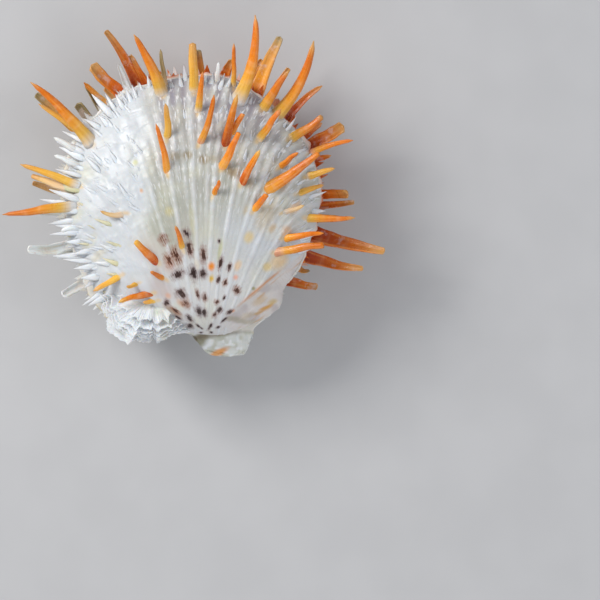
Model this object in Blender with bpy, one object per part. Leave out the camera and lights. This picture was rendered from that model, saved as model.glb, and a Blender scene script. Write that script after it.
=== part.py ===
"""Thorny oyster shell: two closed valves with their spines, lying on the lower valve's cut scar.

The tables are in millimetres, the scene in metres. +X is to the right and +Y away from the hinge,
seen from above with the upper valve on top, and +Z is up. The origin is at the middle of the
shell's box, on the surface that it lies on.
"""

import math
from dataclasses import dataclass

import bmesh
import bpy
import numpy as np

MM = 0.001

# Driving sizes, in millimetres
JOINT_HEIGHT = 30.0
VALVE_GAP = 0.3
UPPER_RISE = 17.0
LOWER_DEPTH = 33.3
UPPER_WALL = 3.5
LOWER_WALL = 5.0
RIB_HEIGHT = 0.9
CREST_WIDTH = 5.0
SPINE_BURIED = 1.5
SCALE_LENGTH = 5.0
SCALE_RISE = 3.5
SCALE_WIDTH = 2.4

# Shares of a length: how flat a dome's middle is, how far a rib bends to leave the margin squarely,
# the arch of a spine, and the room in a valve
DOME_FLATNESS = 2.4
RIB_BEND = 0.28
SPINE_ARCH = 0.10
SPINE_TAPER = 1.3
ROOM_WIDTH = 0.88
ROOM_LENGTH = 0.82

# Section of a spine, one millimetre from its middle to its edge: round above, flat below
SPINE_SECTION = ((1.0, -0.35), (0.6, 0.45), (0.0, 0.7), (-0.6, 0.45), (-1.0, -0.35))

# Faces: one column in three is a main rib, and a spine over the long limit has more steps
COLUMNS = 60
MAIN_RIB = 3
RINGS = 9
LONG_SPINE = 15.0
LONG_STEPS = 4
SHORT_STEPS = 2
ROOM_SEGMENTS = (24, 12)
KNOT_STEPS = 16
MARGIN_SAMPLES = 180
WELD_DISTANCE = 1e-6

# The slope behind the hinge, from the joint down to the beak, how far back along it the middle of its
# cutting block is, and the sizes of the cutting blocks
HINGE_LINE = -48.0
HINGE_SLOPE_DEGREES = 43.0
HINGE_BACK = 10.0
HINGE_BLOCK = (60.0, 40.0, 20.0)
GROUND_BLOCK = (200.0, 200.0, 20.0)

# The umbo, where the ribs of both valves meet, and the middles of the two domes
UMBO = (4.0, -48.5)
UPPER_MIDDLE = (-1.0, -5.0)
LOWER_MIDDLE = (6.0, -13.0)

# Margin of the upper valve, clockwise from the right as seen from above
UPPER_MARGIN = (
    (41.5, 0.0), (41.0, -10.0), (38.5, -18.0), (36.0, -26.0), (31.0, -33.5), (29.0, -40.5),
    (20.5, -46.5), (12.0, -49.0), (4.0, -49.4), (-5.0, -48.1), (-14.0, -46.3), (-24.0, -43.5),
    (-32.0, -37.0), (-36.5, -28.0), (-41.0, -18.0), (-43.0, -8.0), (-43.0, 3.0), (-39.5, 14.5),
    (-31.5, 24.0), (-23.5, 30.5), (-11.0, 35.0), (0.0, 36.5), (8.5, 36.5), (17.0, 33.0),
    (29.0, 23.0), (37.0, 13.5),
)

# Margin of the lower valve, the same way round, with the frill at its lower left and the beak below the umbo
LOWER_MARGIN = (
    (42.0, 0.0), (41.0, -10.0), (38.3, -18.0), (35.5, -26.0), (30.4, -33.3), (28.0, -40.0),
    (20.2, -46.8), (18.6, -51.5), (16.2, -56.2), (9.5, -56.8), (3.6, -55.0), (-1.6, -49.3),
    (-9.0, -48.9), (-16.0, -48.4), (-23.0, -47.5), (-29.5, -42.5), (-35.0, -36.0), (-38.0, -28.0),
    (-41.5, -18.0), (-43.5, -8.0), (-43.5, 3.0), (-40.0, 15.0), (-32.0, 24.5), (-24.0, 31.0),
    (-11.0, 35.5), (0.0, 37.0), (8.5, 37.0), (17.5, 33.5), (29.5, 23.5), (37.5, 14.0),
)


@dataclass(frozen=True)
class Valve:
    """One valve: its margin, the middle and rise of its dome, and the way it bulges."""

    name: str
    margin: tuple
    middle: tuple
    rise: float
    roundness: float
    side: int

    @property
    def rim_height(self):
        return JOINT_HEIGHT + self.side * VALVE_GAP / 2


@dataclass(frozen=True)
class Spine:
    """A spine from its root to its tip, with its sideways bow and its widths, in millimetres."""

    root: tuple
    tip: tuple
    tip_height: float
    width: float
    end: float = 1.0
    bow: float = 0.0


UPPER = Valve("upper_valve", UPPER_MARGIN, UPPER_MIDDLE, UPPER_RISE, 0.62, 1)
LOWER = Valve("lower_valve", LOWER_MARGIN, LOWER_MIDDLE, LOWER_DEPTH, 0.5, -1)

# Spines at the upper valve's margin, clockwise from the left
UPPER_RIM_SPINES = (
    Spine((-39.0, -6.5), (-63.8, -9.5), 36, 4.0, 1.0),
    Spine((-38.0, 0.0), (-57.8, 7.5), 37, 3.2, 1.2),
    Spine((-40.0, -1.5), (-54.0, 3.5), 34, 3.0, 1.6),
    Spine((-38.5, 7.0), (-46.5, 10.5), 37, 2.6),
    Spine((-37.5, 11.0), (-46.8, 16.2), 36, 2.6),
    Spine((-34.0, 14.0), (-54.5, 34.5), 40, 4.6, 1.2, -1.0),
    Spine((-35.0, 16.5), (-51.8, 27.5), 36, 2.8),
    Spine((-10.5, 30.0), (-20.2, 50.2), 42, 4.4, 1.4, -1.0),
    Spine((-9.5, 33.0), (-11.5, 45.5), 36, 1.8),
    Spine((0.0, 31.0), (-0.3, 47.2), 40, 3.4, 2.4),
    Spine((7.5, 34.0), (8.2, 41.2), 38, 2.0),
    Spine((13.0, 32.5), (13.5, 47.5), 37, 1.8),
    Spine((14.0, 28.0), (20.2, 56.8), 44, 5.0, 1.2, -2.5),
    Spine((22.5, 25.5), (31.5, 38.5), 42, 3.6),
    Spine((27.0, 23.5), (39.8, 48.2), 42, 4.4, 1.4, -2.2),
    Spine((31.5, 15.5), (42.5, 22.8), 40, 3.4, 2.0),
    Spine((38.0, 10.5), (52.8, 15.2), 36, 2.4, 1.0, 1.0),
    Spine((37.0, 3.0), (46.8, 5.8), 38, 2.8),
    Spine((34.0, -2.5), (43.0, 0.5), 40, 2.4),
    Spine((37.0, -10.5), (53.5, -10.8), 37, 3.0),
    Spine((26.5, -22.0), (42.8, -19.5), 46, 3.0, 2.0),
    Spine((29.5, -17.5), (43.0, -15.5), 42, 2.8),
    Spine((-38.0, -13.0), (-44.5, -14.8), 35, 2.6),
)

# Spines that stand on the back of the upper valve
UPPER_BACK_SPINES = (
    Spine((1.2, 24.0), (3.2, 37.8), 49, 2.6),
    Spine((1.5, 13.5), (6.8, 30.0), 54, 2.6, 1.2, -0.8),
    Spine((-9.2, 15.0), (-9.5, 27.2), 50, 2.6, 1.4, -0.8),
    Spine((-8.8, 3.5), (-12.5, 20.5), 54, 2.6, 1.0, -0.6),
    Spine((10.2, 13.0), (14.2, 30.2), 53, 3.2, 1.4),
    Spine((12.0, 17.0), (16.5, 23.5), 51, 2.4, 1.6),
    Spine((9.0, 5.5), (15.2, 17.2), 54, 3.2, 1.6),
    Spine((15.5, 0.5), (21.8, 11.8), 53, 3.0, 1.4),
    Spine((21.0, 15.0), (28.8, 25.5), 47, 3.0, 1.4),
    Spine((6.2, -3.5), (8.8, 1.8), 51, 2.0),
    Spine((28.0, 6.0), (34.5, 11.2), 46, 2.4),
    Spine((24.0, -1.0), (41.2, 10.8), 49, 4.4, 1.6, -0.6),
    Spine((19.5, -8.5), (24.0, -3.0), 49, 2.6, 1.8),
    Spine((29.0, -9.0), (36.5, -6.5), 45, 2.0),
    Spine((-3.5, -21.5), (-6.0, -13.2), 52, 2.2),
    Spine((-22.5, -9.0), (-31.2, -8.5), 46, 2.2, 0.8, 1.0),
    Spine((-12.0, -25.5), (-19.4, -18.6), 50, 3.2, 1.8),
    Spine((-9.5, -31.0), (-14.4, -28.3), 47, 2.2),
    Spine((-24.0, -29.5), (-33.6, -34.6), 41, 2.4, 1.4),
    Spine((-13.5, -35.5), (-25.0, -38.8), 42, 2.6, 1.2, -0.6),
    Spine((-18.5, -32.2), (-22.4, -33.6), 44, 1.8),
    Spine((-12.2, -38.0), (-17.0, -38.8), 41, 2.0),
)

# Spines of the lower valve that reach past its margin, clockwise from the left
LOWER_RIM_SPINES = (
    Spine((-36.0, -18.5), (-55.2, -21.2), 24, 4.2, 2.0),
    Spine((-35.0, -21.5), (-45.8, -23.0), 21, 3.0, 1.4),
    Spine((-30.5, -28.5), (-43.5, -36.2), 20, 3.4, 2.0),
    Spine((-38.0, -8.0), (-52.0, -9.0), 22, 3.0),
    Spine((-35.5, -3.5), (-54.0, 1.0), 22, 3.6, 1.6),
    Spine((-34.0, 6.0), (-46.0, 10.0), 17, 2.8),
    Spine((-33.5, 9.5), (-45.8, 16.2), 19, 2.8),
    Spine((-31.0, 12.0), (-53.0, 30.5), 22, 4.2, 2.2),
    Spine((-24.0, 10.0), (-39.4, 27.4), 12, 4.4, 3.0),
    Spine((-24.0, 15.0), (-36.5, 33.5), 17, 3.6, 1.6),
    Spine((-21.5, 28.0), (-34.2, 40.0), 21, 4.6, 4.0),
    Spine((-26.5, 24.0), (-36.8, 35.0), 23, 3.0, 1.4),
    Spine((-17.5, 29.0), (-29.8, 51.6), 25, 4.2, 1.8, -1.5),
    Spine((-14.5, 31.0), (-21.5, 44.2), 22, 3.0),
    Spine((-21.0, 28.5), (-25.6, 41.0), 25, 2.8),
    Spine((3.0, 28.0), (0.6, 45.0), 22, 4.0, 3.2),
    Spine((8.0, 32.0), (12.0, 42.0), 25, 5.0, 2.0),
    Spine((19.5, 29.0), (28.2, 49.8), 23, 5.4, 2.4),
    Spine((14.5, 29.5), (22.0, 42.5), 19, 4.0, 1.6),
    Spine((22.0, 25.5), (31.2, 39.5), 20, 3.6, 1.6),
    Spine((30.0, 21.5), (42.5, 33.8), 25, 3.0, 1.4, 1.0),
    Spine((34.0, 15.0), (42.4, 21.5), 19, 3.0, 1.4),
    Spine((36.0, 12.0), (49.0, 20.0), 24, 4.6, 4.0),
    Spine((38.0, 8.5), (45.5, 10.5), 24, 2.8),
    Spine((38.0, -2.2), (50.6, -2.4), 24, 3.6, 3.0),
    Spine((38.0, -6.5), (53.0, -5.2), 22, 2.8, 1.6),
    Spine((37.0, -9.5), (52.0, -11.0), 18, 2.4),
    Spine((36.5, -14.8), (63.0, -21.5), 26, 6.0, 2.4, -0.6),
    Spine((35.0, -22.5), (56.0, -27.2), 24, 4.6, 1.8, -0.6),
    Spine((32.0, -26.8), (38.4, -28.4), 22, 2.8),
    Spine((29.5, -31.0), (40.6, -33.6), 23, 3.4, 2.2),
)

# Shorter spines on the underside, in the rows that grow towards the far edge
LOWER_BACK_SPINES = (
    Spine((13.0, 15.5), (16.0, 30.0), 6.5, 4.2, 2.0),
    Spine((19.0, 14.5), (27.5, 29.5), 7.5, 4.4, 2.4),
    Spine((25.0, 12.0), (33.0, 24.0), 9.0, 3.8, 1.6),
    Spine((6.0, 14.0), (8.0, 27.0), 5.0, 3.8, 2.0),
    Spine((29.0, 7.0), (38.0, 14.5), 9.0, 3.6, 1.8),
    Spine((0.5, 16.0), (0.5, 26.0), 6.0, 3.2, 1.8),
    Spine((22.0, 7.5), (29.5, 17.0), 3.5, 3.2, 1.4),
    Spine((14.5, 8.0), (19.0, 18.0), 2.5, 3.2, 1.4),
    Spine((31.0, 1.5), (39.0, 5.5), 9.0, 3.2, 1.6),
    Spine((27.5, 2.5), (34.0, 8.5), 4.0, 2.8, 1.4),
    Spine((33.0, -4.0), (41.0, -3.0), 9.5, 3.2, 1.6),
    Spine((-17.0, 19.5), (-29.5, 33.5), 11.0, 4.4, 2.6),
    Spine((-10.5, 23.5), (-22.0, 43.5), 16.0, 4.0, 2.2),
    Spine((-34.0, -5.5), (-45.4, -5.8), 17.0, 2.8),
)

# Lobes of the frill at the lower valve's lower left
FRILL_LOBES = (
    Spine((-34.0, -33.0), (-37.6, -38.0), 26, 5.0, 3.0),
    Spine((-29.0, -37.5), (-31.6, -44.0), 27, 5.4, 3.2),
    Spine((-26.0, -42.0), (-28.8, -49.4), 26, 5.4, 3.0),
    Spine((-21.5, -45.0), (-23.2, -53.4), 27, 6.0, 2.8),
    Spine((-16.5, -46.0), (-16.8, -52.4), 26, 5.4, 3.2),
    Spine((-10.5, -46.5), (-11.2, -52.8), 27, 5.0, 2.4),
    Spine((-19.5, -41.0), (-22.0, -50.6), 20, 6.0, 3.0),
    Spine((-28.5, -35.0), (-33.6, -43.0), 19, 6.0, 3.0),
)

# Rows of upright scales on the left of the upper valve: bearings and distances from the umbo
SCALE_BEARINGS = (114.0, 122.0, 130.0, 139.0, 148.0)
SCALE_DISTANCES = (38.0, 48.0, 58.0, 68.0)

# The crest on the underside: one ridge to the far edge and one round the hollow to the beak
CREST_ROUTES = (
    (
        (-9.5, 25.0), (-8.0, 13.0), (3.5, 1.0), (-3.0, -8.0), (-10.5, -22.5), (-3.0, -29.5),
        (12.0, -34.5),
    ),
    ((-8.0, 13.0), (-14.0, 9.0), (-16.5, 0.0)),
)

PEARL_WHITE = (0.78, 0.78, 0.79, 1.0)
PEARL_ROUGHNESS = 0.45
CREAM_ORANGE = (0.80, 0.62, 0.48, 1.0)
CREAM_ROUGHNESS = 0.55


def clear_scene():
    for thing in list(bpy.data.objects):
        bpy.data.objects.remove(thing, do_unlink=True)


def new_collection(name, parent, hidden=False):
    made = bpy.data.collections.new(name)
    parent.children.link(made)
    made.hide_render = hidden
    return made


def shell_material(name, colour, roughness):
    made = bpy.data.materials.new(name)
    made.use_nodes = True
    shader = made.node_tree.nodes["Principled BSDF"]
    shader.inputs["Base Color"].default_value = colour
    shader.inputs["Roughness"].default_value = roughness
    return made


def even_loop(points, count):
    """A smooth closed curve through the points, as places evenly spaced along it."""
    knots = np.array(points)
    before, after = np.roll(knots, 1, axis=0), np.roll(knots, -1, axis=0)
    pull, next_pull = (after - before) / 2, (np.roll(after, -1, axis=0) - knots) / 2
    fine = []
    for t in np.linspace(0, 1, KNOT_STEPS, endpoint=False):
        a, b = 2 * t**3 - 3 * t**2 + 1, t**3 - 2 * t**2 + t
        c, d = 3 * t**2 - 2 * t**3, t**3 - t**2
        fine.append(a * knots + b * pull + c * after + d * next_pull)
    curve = np.stack(fine, axis=1).reshape(-1, 2)
    closed = np.vstack([curve, curve[:1]])
    along = np.concatenate([[0], np.cumsum(np.linalg.norm(np.diff(closed, axis=0), axis=1))])
    wanted = np.linspace(0, along[-1], count, endpoint=False)
    return np.stack([np.interp(wanted, along, closed[:, i]) for i in (0, 1)], axis=1)


def edge_reach(valve, dx, dy):
    """How far the margin is from the dome's middle, in the direction of a place."""
    margin = even_loop(valve.margin, MARGIN_SAMPLES) - valve.middle
    angles = np.arctan2(margin[:, 1], margin[:, 0])
    order = np.argsort(angles)
    reach = np.hypot(margin[:, 0], margin[:, 1])[order]
    return np.interp(math.atan2(dy, dx), angles[order], reach, period=2 * math.pi)


def margin_share(valve, x, y):
    """How far out a place is: 0 in the middle of the dome, 1 at the margin."""
    dx, dy = x - valve.middle[0], y - valve.middle[1]
    return min(math.hypot(dx, dy) / edge_reach(valve, dx, dy), 1.0)


def surface_height(valve, x, y):
    """The valve's surface: its full rise in the middle, and its rim at the margin."""
    share = margin_share(valve, x, y)
    dome = valve.rise * (1 - share**DOME_FLATNESS) ** valve.roundness
    return valve.rim_height + valve.side * dome


def to_data(mesh, name):
    """The mesh as data for an object, its faces turned outwards."""
    bmesh.ops.recalc_face_normals(mesh, faces=mesh.faces)
    data = bpy.data.meshes.new(name)
    mesh.to_mesh(data)
    mesh.free()
    return data


def add_object(name, data, collection):
    made = bpy.data.objects.new(name, data)
    collection.objects.link(made)
    return made


def rib_place(valve, edge, share):
    """A place in plan on the rib from the umbo to a place on the margin, at a share of its length."""
    umbo, edge = np.array(UMBO), np.array(edge)
    away = edge - valve.middle
    away /= np.linalg.norm(away)
    bend = edge - away * RIB_BEND * np.linalg.norm(edge - umbo)
    return (1 - share) ** 2 * umbo + 2 * share * (1 - share) * bend + share**2 * edge


def add_valve_block(valve, collection):
    """A ribbed dome from the umbo out to the margin, closed by a flat face at the joint."""
    margin = even_loop(valve.margin, COLUMNS)
    mesh = bmesh.new()
    pole_height = surface_height(valve, *UMBO)
    pole = mesh.verts.new((UMBO[0] * MM, UMBO[1] * MM, pole_height * MM))
    rings = []
    for step in range(1, RINGS + 1):
        share = math.sin(math.pi / 2 * step / RINGS)
        ring = []
        for column, edge in enumerate(margin):
            x, y = rib_place(valve, edge, share)
            height = valve.rim_height
            if step < RINGS:
                rib = RIB_HEIGHT * share * (column % MAIN_RIB == 0)
                height = surface_height(valve, x, y) + valve.side * rib
            ring.append(mesh.verts.new((x * MM, y * MM, height * MM)))
        rings.append(ring)
    for column in range(COLUMNS):
        after = (column + 1) % COLUMNS
        mesh.faces.new((pole, rings[0][column], rings[0][after]))
        for inner, outer in zip(rings, rings[1:]):
            mesh.faces.new((inner[column], outer[column], outer[after], inner[after]))
    mesh.faces.new(rings[-1])
    data = to_data(mesh, valve.name)
    data.shade_smooth()
    return add_object(valve.name, data, collection)


def as_cutter(thing):
    thing.hide_render = True
    thing.display_type = "WIRE"
    return thing


def add_room(valve, wall, collection):
    """The room inside the valve: a squashed ball about the joint, smaller than the valve by its wall."""
    margin = even_loop(valve.margin, COLUMNS)
    low, high = margin.min(axis=0), margin.max(axis=0)
    half_width, half_length = (high - low) / 2
    size = (half_width * ROOM_WIDTH, half_length * ROOM_LENGTH, valve.rise - wall)
    mesh = bmesh.new()
    around, down = ROOM_SEGMENTS
    bmesh.ops.create_uvsphere(mesh, u_segments=around, v_segments=down, radius=MM)
    bmesh.ops.scale(mesh, vec=size, verts=mesh.verts)
    made = as_cutter(add_object(valve.name + "_room", to_data(mesh, valve.name), collection))
    middle = (*((low + high) / 2), JOINT_HEIGHT)
    made.location = [value * MM for value in middle]
    return made


def gutter_profile(collection):
    """The closed curve that is swept along every spine."""
    data = bpy.data.curves.new("spine_section", "CURVE")
    data.dimensions = "2D"
    line = data.splines.new("POLY")
    line.points.add(len(SPINE_SECTION) - 1)
    for point, (x, y) in zip(line.points, SPINE_SECTION):
        point.co = (x * MM, y * MM, 0, 1)
    line.use_cyclic_u = True
    return as_cutter(add_object("spine_section", data, collection))


def spine_path(spine, valve, steps):
    """Places from inside the wall out to the tip, along an arch that opens away from the joint."""
    root_height = surface_height(valve, *spine.root) - valve.side * SPINE_BURIED
    root = np.array([*spine.root, root_height])
    tip = np.array([*spine.tip, spine.tip_height])
    run = tip - root
    sideways = np.array([-run[1], run[0], 0]) / np.hypot(run[0], run[1])
    arch = np.array([0, 0, valve.side * SPINE_ARCH * np.linalg.norm(run)])
    middle = (root + tip) / 2 + 2 * spine.bow * sideways + arch
    shares = np.linspace(0, 1, steps + 1)
    return [(1 - t) ** 2 * root + 2 * t * (1 - t) * middle + t**2 * tip for t in shares]


def add_tube(name, places, radii, profile, collection):
    """A curve with the spine's section swept along it, and its ends filled."""
    data = bpy.data.curves.new(name, "CURVE")
    data.dimensions = "3D"
    data.twist_mode = "Z_UP"
    data.bevel_mode = "OBJECT"
    data.bevel_object = profile
    data.use_fill_caps = True
    line = data.splines.new("POLY")
    line.points.add(len(places) - 1)
    for point, place, radius in zip(line.points, places, radii):
        point.co = (*[value * MM for value in place], 1)
        point.radius = radius
    return add_object(name, data, collection)


def curves_to_meshes(collection):
    """Makes each curve a closed mesh, so that it can take part in a union."""
    bpy.context.view_layer.update()
    graph = bpy.context.evaluated_depsgraph_get()
    for curve in list(collection.objects):
        mesh = bmesh.new()
        mesh.from_mesh(bpy.data.meshes.new_from_object(curve.evaluated_get(graph)))
        bmesh.ops.remove_doubles(mesh, verts=mesh.verts, dist=WELD_DISTANCE)
        made = as_cutter(add_object(curve.name + "_solid", to_data(mesh, curve.name), collection))
        made.matrix_world = curve.matrix_world
        bpy.data.objects.remove(curve)


def add_spine(name, spine, valve, profile, collection):
    length = math.dist(spine.root, spine.tip)
    steps = LONG_STEPS if length > LONG_SPINE else SHORT_STEPS
    shares = np.linspace(0, 1, steps + 1) ** SPINE_TAPER
    radii = (spine.width + (spine.end - spine.width) * shares) / 2
    add_tube(name, spine_path(spine, valve, steps), radii, profile, collection)


def upright_scales(valve):
    """Short scales in rows along the ribs, leaning away from the umbo, short of the margin."""
    scales = []
    for bearing in SCALE_BEARINGS:
        way = np.array([math.cos(math.radians(bearing)), math.sin(math.radians(bearing))])
        for distance in SCALE_DISTANCES:
            root = UMBO + distance * way
            tip = root + SCALE_LENGTH * way
            if margin_share(valve, *tip) < 1.0:
                height = surface_height(valve, *tip) + SCALE_RISE
                scales.append(Spine(tuple(root), tuple(tip), height, SCALE_WIDTH))
    return tuple(scales)


def add_crest(valve, profile, collection):
    """Straight overlapping legs along each route, half sunk in the valve."""
    for route in CREST_ROUTES:
        places = [(x, y, surface_height(valve, x, y)) for x, y in route]
        for number, leg in enumerate(zip(places, places[1:])):
            add_tube(f"crest_leg_{number}", leg, [CREST_WIDTH / 2] * 2, profile, collection)


def add_block(name, size, middle, tilt, collection):
    mesh = bmesh.new()
    bmesh.ops.create_cube(mesh, size=MM)
    bmesh.ops.scale(mesh, vec=size, verts=mesh.verts)
    made = as_cutter(add_object(name, to_data(mesh, name), collection))
    made.location = [value * MM for value in middle]
    made.rotation_euler = (tilt, 0, 0)
    return made


def add_hinge_block(collection):
    """A tilted block whose lower face runs from the hinge line at the joint down past the beak."""
    tilt = math.radians(HINGE_SLOPE_DEGREES)
    half_height = HINGE_BLOCK[2] / 2
    back = HINGE_BACK * math.cos(tilt) + half_height * math.sin(tilt)
    up = half_height * math.cos(tilt) - HINGE_BACK * math.sin(tilt)
    middle = (UMBO[0], HINGE_LINE - back, LOWER.rim_height + up)
    return add_block("hinge_slope", HINGE_BLOCK, middle, tilt, collection)


def boolean(target, name, operation, operand, solver="EXACT"):
    step = target.modifiers.new(name, "BOOLEAN")
    step.operation = operation
    step.solver = solver
    if isinstance(operand, bpy.types.Collection):
        step.operand_type = "COLLECTION"
        step.collection = operand
    else:
        step.object = operand


def build_upper(profile, shell, cutters):
    spines = new_collection("upper_spines", cutters, hidden=True)
    everything = UPPER_RIM_SPINES + UPPER_BACK_SPINES + upright_scales(UPPER)
    for number, spine in enumerate(everything, 1):
        add_spine(f"upper_spine_{number}", spine, UPPER, profile, spines)
    curves_to_meshes(spines)

    upper = add_valve_block(UPPER, shell)
    upper.data.materials.append(shell_material("pearl_white_shell", PEARL_WHITE, PEARL_ROUGHNESS))
    boolean(upper, "spines", "UNION", spines)
    boolean(upper, "room", "DIFFERENCE", add_room(UPPER, UPPER_WALL, cutters))


def build_lower(profile, shell, cutters):
    spines = new_collection("lower_spines", cutters, hidden=True)
    crest = new_collection("crest", cutters, hidden=True)
    for number, spine in enumerate(LOWER_RIM_SPINES + LOWER_BACK_SPINES + FRILL_LOBES, 1):
        add_spine(f"lower_spine_{number}", spine, LOWER, profile, spines)
    add_crest(LOWER, profile, crest)
    curves_to_meshes(spines)
    curves_to_meshes(crest)

    lower = add_valve_block(LOWER, shell)
    lower.data.materials.append(shell_material("cream_orange_shell", CREAM_ORANGE, CREAM_ROUGHNESS))
    ground_middle = (0, 0, -GROUND_BLOCK[2] / 2)
    ground = add_block("ground", GROUND_BLOCK, ground_middle, 0.0, cutters)
    boolean(lower, "crest", "UNION", crest)
    # The exact solver loses the whole valve here, where the crest's legs meet the cut
    boolean(lower, "ground", "DIFFERENCE", ground, solver="MANIFOLD")
    boolean(lower, "hinge_slope", "DIFFERENCE", add_hinge_block(cutters))
    boolean(lower, "spines", "UNION", spines)
    boolean(lower, "room", "DIFFERENCE", add_room(LOWER, LOWER_WALL, cutters))


def build():
    clear_scene()
    scene = bpy.context.scene.collection
    shell = new_collection("thorny_oyster_shell", scene)
    cutters = new_collection("cutters", scene, hidden=True)
    profile = gutter_profile(cutters)
    build_upper(profile, shell, cutters)
    build_lower(profile, shell, cutters)


build()
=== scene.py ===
"""Dresses the thorny oyster shell: ribbed and scaly valves, gutter spines, frill, crest and stage.

The tables are in millimetres, as in the part's source: +X to the right and +Y away from the hinge,
seen from above, and +Z up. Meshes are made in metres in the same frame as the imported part.
"""

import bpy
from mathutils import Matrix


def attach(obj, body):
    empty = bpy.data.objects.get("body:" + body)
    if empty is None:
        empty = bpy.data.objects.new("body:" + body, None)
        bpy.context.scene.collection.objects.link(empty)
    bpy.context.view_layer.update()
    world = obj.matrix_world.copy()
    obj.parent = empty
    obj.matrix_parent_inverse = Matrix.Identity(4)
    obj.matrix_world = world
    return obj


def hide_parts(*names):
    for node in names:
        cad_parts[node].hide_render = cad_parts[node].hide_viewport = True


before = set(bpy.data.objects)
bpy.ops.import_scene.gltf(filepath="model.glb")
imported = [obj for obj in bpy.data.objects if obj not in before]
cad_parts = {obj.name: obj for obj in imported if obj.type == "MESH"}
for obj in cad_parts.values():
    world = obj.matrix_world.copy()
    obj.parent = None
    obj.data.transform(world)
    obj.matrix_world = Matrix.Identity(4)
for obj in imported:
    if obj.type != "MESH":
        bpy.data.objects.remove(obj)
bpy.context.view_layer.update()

import itertools
import math
from dataclasses import dataclass

import bpy
import numpy as np
from mathutils import Vector

bl_info = {
    "name": "Thorny oyster shell",
    "version": (1, 0, 0),
    "blender": (4, 5, 0),
    "location": "3D View > Sidebar > Shell",
    "description": "Builds a closed thorny oyster shell, piece by piece",
    "category": "Add Mesh",
}

MM = 0.001

# The joint between the valves, the umbo, the point below its rounded edge that the upper ribs spread
# from, and the middles of the two domes
JOINT_HEIGHT = 30.0
UMBO = np.array([4.0, -48.5])
FAN = np.array([3.5, -71.0])
UPPER_MIDDLE = np.array([-1.0, -5.0])
LOWER_MIDDLE = np.array([6.0, -13.0])

# How flat the domes are on top, the mouth of the room between the valves as shares of the shell's width and
# length, and where the face behind the hinge starts and how steeply it falls
DOME_FLATNESS = 2.4
ROOM = np.array([0.88, 0.82])
HINGE_LINE = -48.0
HINGE_SLOPE = math.tan(math.radians(43.0))

# Ribs round a valve, how far they bend so as to leave the margin squarely, one main rib in how many, and
# how far the upper ribs are turned round the margin
RIBS = 60
RIB_BEND = 0.19
MAIN_RIB = 3
RIB_SHIFT = 1.35

# Points round a margin, columns round a skin and rings from its umbo to its margin, and the walls in the
# middle of the domes
EDGE_POINTS = 1440
SKIN_COLUMNS = 540
UPPER_RINGS = 160
LOWER_RINGS = 150
UPPER_WALL = 3.5
LOWER_WALL = 9.0

# The power that rounds each dome off: the lower it is, the more upright the dome meets the joint
UPPER_ROUNDNESS = 0.62
LOWER_ROUNDNESS = 0.5

# How far the beak's face stays below the joint, and spines and scales above the ground
FACE_DROP = 0.15
GROUND_GAP = 0.05

UPPER_MARGIN = (
    (41.5, 0.0), (41.0, -10.0), (38.5, -18.0), (36.0, -26.0), (31.0, -33.5), (29.0, -40.5),
    (20.5, -46.5), (12.0, -49.0), (4.0, -49.4), (-5.0, -48.1), (-14.0, -46.3), (-24.0, -43.5),
    (-32.0, -37.0), (-36.5, -28.0), (-41.0, -18.0), (-43.0, -8.0), (-43.0, 3.0), (-39.5, 14.5),
    (-31.5, 24.0), (-23.5, 30.5), (-11.0, 35.0), (0.0, 36.5), (8.5, 36.5), (17.0, 33.0),
    (29.0, 23.0), (37.0, 13.5),
)

LOWER_MARGIN = (
    (42.0, 0.0), (41.0, -10.0), (38.3, -18.0), (35.5, -26.0), (30.4, -33.3), (28.0, -40.0),
    (20.2, -46.8), (18.6, -51.5), (16.2, -56.2), (9.5, -56.8), (3.6, -55.0), (-1.6, -49.3),
    (-9.0, -48.9), (-16.0, -48.4), (-23.0, -47.5), (-29.5, -42.5), (-35.0, -36.0), (-38.0, -28.0),
    (-41.5, -18.0), (-43.5, -8.0), (-43.5, 3.0), (-40.0, 15.0), (-32.0, 24.5), (-24.0, 31.0),
    (-11.0, 35.5), (0.0, 37.0), (8.5, 37.0), (17.5, 33.5), (29.5, 23.5), (37.5, 14.0),
)


def shade(red, green, blue):
    """A display colour, 0 to 255, as the linear colour that Blender works in."""
    parts = np.array([red, green, blue]) / 255.0
    linear = np.where(parts <= 0.04045, parts / 12.92, ((parts + 0.055) / 1.055) ** 2.4)
    return tuple(float(value) for value in linear)


def smooth(value, low, high):
    """0 below low, 1 above high, and an even curve between them."""
    t = np.clip((np.asarray(value, float) - low) / (high - low), 0, 1)
    return t * t * (3 - 2 * t)


def mixed(first, second, share):
    """Colours or places, part of the way from the first to the second."""
    share = np.asarray(share)[..., None]
    return first * (1 - share) + np.asarray(second) * share


# Random values that the noise picks from, and the whole numbers that mix a cell's place into a pick
NOISE_VALUES = 4096
CELL_STEPS = np.array([73856093, 19349663, 83492791])


def soft_noise(places, size, seed):
    """Smooth random values from -1 to 1 that change over about one size."""
    grid = np.asarray(places, float) / size
    cell = np.floor(grid).astype(np.int64)
    part = grid - cell
    part = part * part * (3 - 2 * part)
    table = np.random.default_rng(seed).uniform(-1, 1, NOISE_VALUES)
    steps = CELL_STEPS[: grid.shape[-1]]
    total = np.zeros(grid.shape[:-1])
    for corner in itertools.product((0, 1), repeat=grid.shape[-1]):
        weight = np.prod(np.where(corner, part, 1 - part), axis=-1)
        total += weight * table[((cell + corner) * steps).sum(axis=-1) % NOISE_VALUES]
    return total


def pattern(seed, *coordinates):
    """Smooth random values from -1 to 1 that change over about one unit of each coordinate."""
    return soft_noise(np.stack(np.broadcast_arrays(*coordinates), axis=-1), 1.0, seed)


def sawtooth(value):
    """How far each value is past the whole number below it."""
    return value - np.floor(value)


def plain(shape, *colour):
    """One display colour at every place of a grid."""
    return np.broadcast_to(np.array(shade(*colour)), (*shape, 3))


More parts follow.
